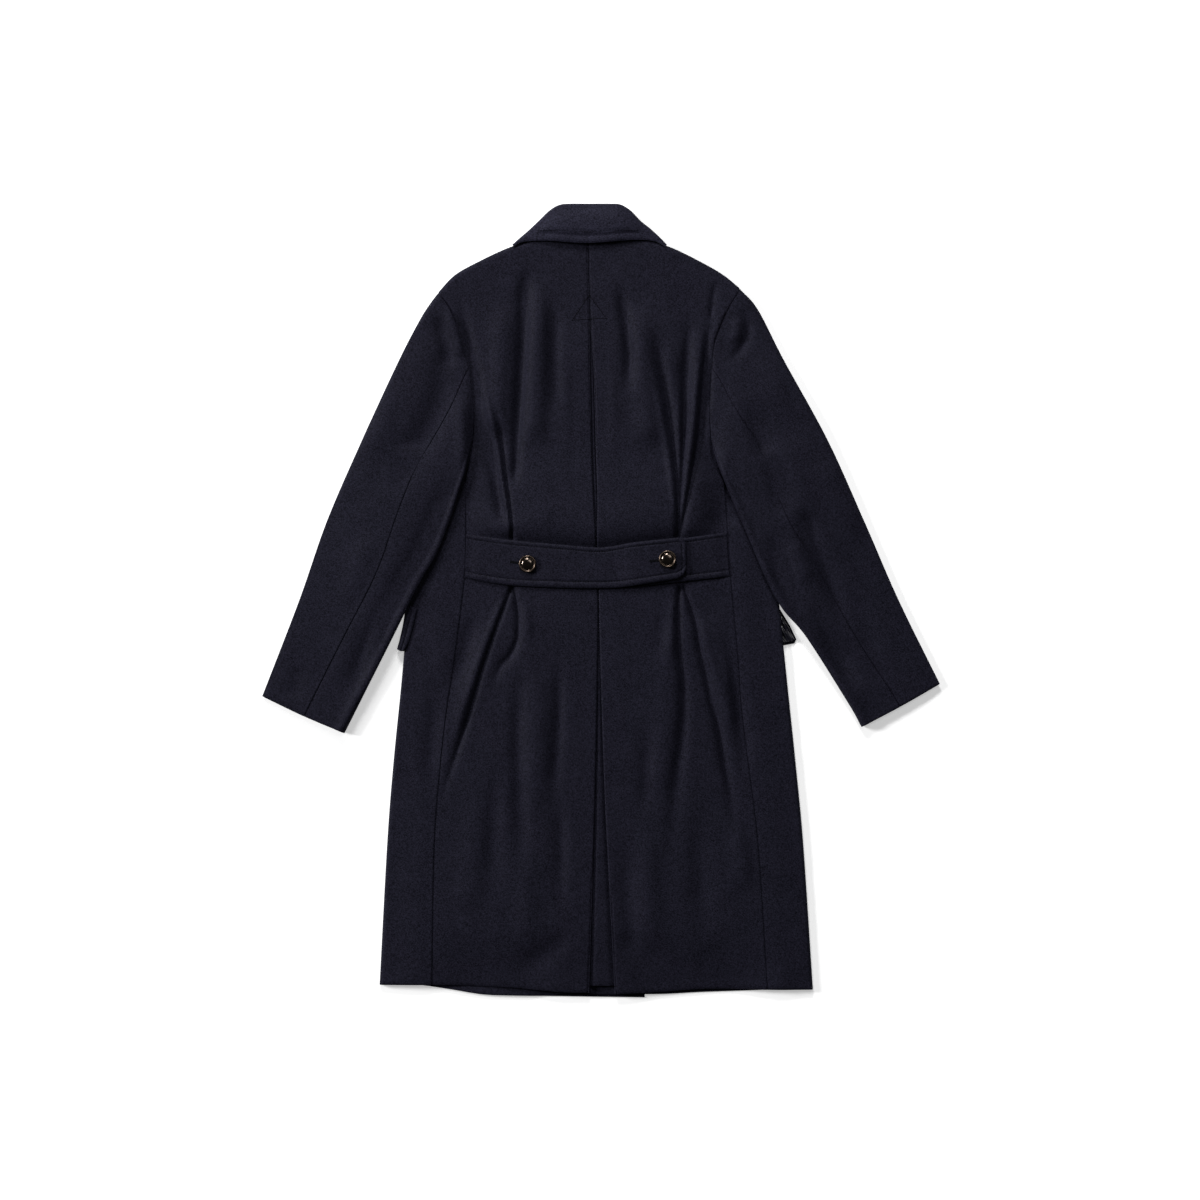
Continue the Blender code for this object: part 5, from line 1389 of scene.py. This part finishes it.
for start, end in (
    (run_in.outputs["Geometry"], to_curve.inputs["Mesh"]),
    (to_curve.outputs["Curve"], spaced.inputs["Curve"]),
    (run_in.outputs["Spacing"], spaced.inputs["Length"]),
    (spaced.outputs["Curve"], placed.inputs["Points"]),
    (thread_form.outputs["Mesh"], placed.inputs["Instance"]),
    (tangent.outputs["Tangent"], heading.inputs["Vector"]),
    (run_in.outputs["Seed"], sway.inputs["Seed"]),
    (sway.outputs["Value"], angle_sum.inputs[0]),
    (run_in.outputs["Turn"], angle_sum.inputs[1]),
    (angle_sum.outputs["Value"], angle_vector.inputs["Z"]),
    (angle_vector.outputs["Vector"], angle_turn.inputs["Euler"]),
    (heading.outputs["Rotation"], turned.inputs["Rotation"]),
    (angle_turn.outputs["Rotation"], turned.inputs["Rotate By"]),
    (turned.outputs["Rotation"], placed.inputs["Rotation"]),
    (run_in.outputs["Stitch length"], thread_size.inputs["X"]),
    (run_in.outputs["Thread width"], thread_size.inputs["Y"]),
    (run_in.outputs["Thread width"], thread_size.inputs["Z"]),
    (thread_size.outputs["Vector"], placed.inputs["Scale"]),
    (placed.outputs["Instances"], solid.inputs["Geometry"]),
    (solid.outputs["Geometry"], dyed.inputs["Geometry"]),
    (run_in.outputs["Thread"], dyed.inputs["Material"]),
    (dyed.outputs["Geometry"], run_out.inputs["Geometry"]),
):
    run.links.new(start, end)


def stitches(name, paths, spacing, length, width, turn=0.0, seed=1):
    corners, edges = [], []
    for path in paths:
        first = len(corners)
        corners += [tuple(point) for point in path]
        edges += [(first + k, first + k + 1) for k in range(len(path) - 1)]
    line = bpy.data.meshes.new(name)
    line.from_pydata(corners, edges, [])
    piece = bpy.data.objects.new(name, line)
    bpy.context.collection.objects.link(piece)
    sewing = piece.modifiers.new("sewing", "NODES")
    sewing.node_group = run
    for label, value in (("Spacing", spacing), ("Stitch length", length), ("Thread width", width),
                         ("Turn", turn), ("Seed", seed), ("Thread", THREAD)):
        sewing[RUN_INPUTS[label]] = value
    made = keep_plain(name, piece, THREAD)
    print(f"{name}: {len(made.data.polygons)} faces")
    return made


# %% [markdown]
# Topstitching holds the collar and the belt, a sewn triangle locks the head of the pleat, and each belt
# button
# has a worked buttonhole: close stitches across both lips of a short slit, and a line of dark thread along
# the slit as painted shade in the opening. All of them are laid on the same heights as the cloth below, so
# they sink into their grooves.

# %% Stitching on collar, belt and pleat
def on_back(points, count, lift):
    plan = along(evened(points), np.linspace(0, 1, count))
    return plan_with(plan[:, 0], plan[:, 1], back_height(plan[:, 0], plan[:, 1]) + lift)


def on_belt(x, y, lift, short=False):
    return plan_with(x, y, belt_height(x, y, short) + lift)


COLLAR_STITCH_HIGH, COLLAR_STITCH_RISE = 0.0161, 0.0064
x = np.linspace(-0.092, 0.053, 120)
collar_edge_y = y_at(smooth_path(COLLAR_EDGE), x)
collar_y = np.minimum(collar_edge_y + COLLAR_STITCH_IN * 0.97, 0.5405 + 0 * x)
collar_z = COLLAR_STITCH_HIGH + COLLAR_STITCH_RISE * collar_centre(x)
stitches("collar_stitches", [plan_with(x, collar_y, collar_z)], spacing=0.0040, length=0.0029, width=0.0012)

x = np.linspace(-0.193, BELT_END_X - BELT_END_ROUND, 160)
end_turn = np.linspace(math.pi / 2, -math.pi / 2 + 0.25, 40)
inner_round = BELT_END_ROUND - BELT_STITCH_TOP
round_x = BELT_END_X - BELT_END_ROUND + inner_round * np.cos(end_turn)
round_up = np.where(end_turn > 0, y_at(BELT_TOP, round_x) - BELT_END_ROUND,
                    y_at(BELT_BOTTOM, round_x) + BELT_END_ROUND)
round_y = round_up + inner_round * np.sin(end_turn)
top_y = np.concatenate([y_at(BELT_TOP, x) - BELT_STITCH_TOP, round_y])
top_line = on_belt(np.concatenate([x, round_x]), top_y, BELT_STITCH_LIFT)
bottom_line = on_belt(x, y_at(BELT_BOTTOM, x) + BELT_STITCH_BOTTOM, BELT_STITCH_LIFT)
x = np.linspace(0.127, 0.181, 40)
low_y, high_y = short_belt_edges((x - SHORT_BELT_START_X) / SHORT_BELT_LENGTH)
short_lines = [on_belt(x, high_y - BELT_STITCH_TOP, BELT_STITCH_LIFT, True),
               on_belt(x, low_y + BELT_STITCH_BOTTOM, BELT_STITCH_LIFT, True)]
belt_lines = [top_line, bottom_line] + short_lines
stitches("belt_stitches", belt_lines, spacing=0.0038, length=0.0029, width=0.0009)

TRIANGLE = [(-0.0180, 0.446), (-0.0420, 0.410), (0.0070, 0.413), (-0.0170, 0.446)]
triangle_lines = [on_back(TRIANGLE[k:k + 2], 24, 0.0010) for k in range(3)]
stitches("triangle_stitches", triangle_lines, spacing=0.0030, length=0.0028, width=0.0013)

# %% Buttonholes
HOLES = {"left": ((-0.1320, 0.0572), (-0.1165, 0.0548)), "right": ((0.0710, 0.0580), (0.0870, 0.0594))}
HOLE_LIP = 0.0010
hole_paths, slit_shade_paths = [], []
for start, end in HOLES.values():
    begin, finish = np.array(start), np.array(end)
    across = np.array((-(finish - begin)[1], (finish - begin)[0])) / np.linalg.norm(finish - begin)
    for lip in (-HOLE_LIP, HOLE_LIP):
        lip_line = along(np.array([begin, finish]) + across * lip, np.linspace(0, 1, 20))
        hole_paths.append(on_belt(lip_line[:, 0], lip_line[:, 1], 0.0017))
    slit = along(np.array([begin, finish]), np.linspace(0, 1, 20))
    slit_shade_paths.append(on_belt(slit[:, 0], slit[:, 1], 0.0018))
stitches("buttonhole_stitches", hole_paths, spacing=0.0007, length=0.0021, width=0.0007, turn=math.pi / 2,
         seed=3)
# The slit itself is a line of dark thread: painted shade where the cut opens.
stitches("buttonhole_slit_shade", slit_shade_paths, spacing=0.0016, length=0.0030, width=0.0007, seed=5)

# %% [markdown]
# Last, each piece is paired with the solid it stands for, and that solid is hidden. Everything rides on the
# one body, because a coat laid flat has no joint.

# %% What stands for what
STANDS_FOR = {
    "back_cloth_left": "back_left", "back_cloth_right": "back_right", "underlay_cloth": "pleat_underlay",
    "front_cloth_left": "front_left", "front_cloth_right": "front_right",
    "top_sleeve_cloth_left": "top_sleeve_left", "top_sleeve_cloth_right": "top_sleeve_right",
    "under_sleeve_cloth_left": "under_sleeve_left", "under_sleeve_cloth_right": "under_sleeve_right",
    "collar_fall_cloth": "collar_fall", "collar_stand_cloth": "collar_stand",
    "long_belt_cloth": "half_belt_long", "short_belt_cloth": "half_belt_short",
    "left_flap_cloth": "pocket_flap_left", "right_flap_cloth": "pocket_flap_right",
    "right_flap_satin": "flap_lining_right",
    "left_lapel_cloth": "lapel_left", "right_lapel_cloth": "lapel_right",
}
for node in BUTTON_NODES:
    STANDS_FOR[node.replace("button", "turned_button")] = node

for name, made in PIECES.items():
    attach(made.piece, "root")
    if name in STANDS_FOR:
        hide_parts(STANDS_FOR[name])
print(len(PIECES), "pieces ride on the coat")

# %% A record for the cut of a sheet: width, length, area and what it lies on
Cut = namedtuple("Cut", "width length area lies_on")
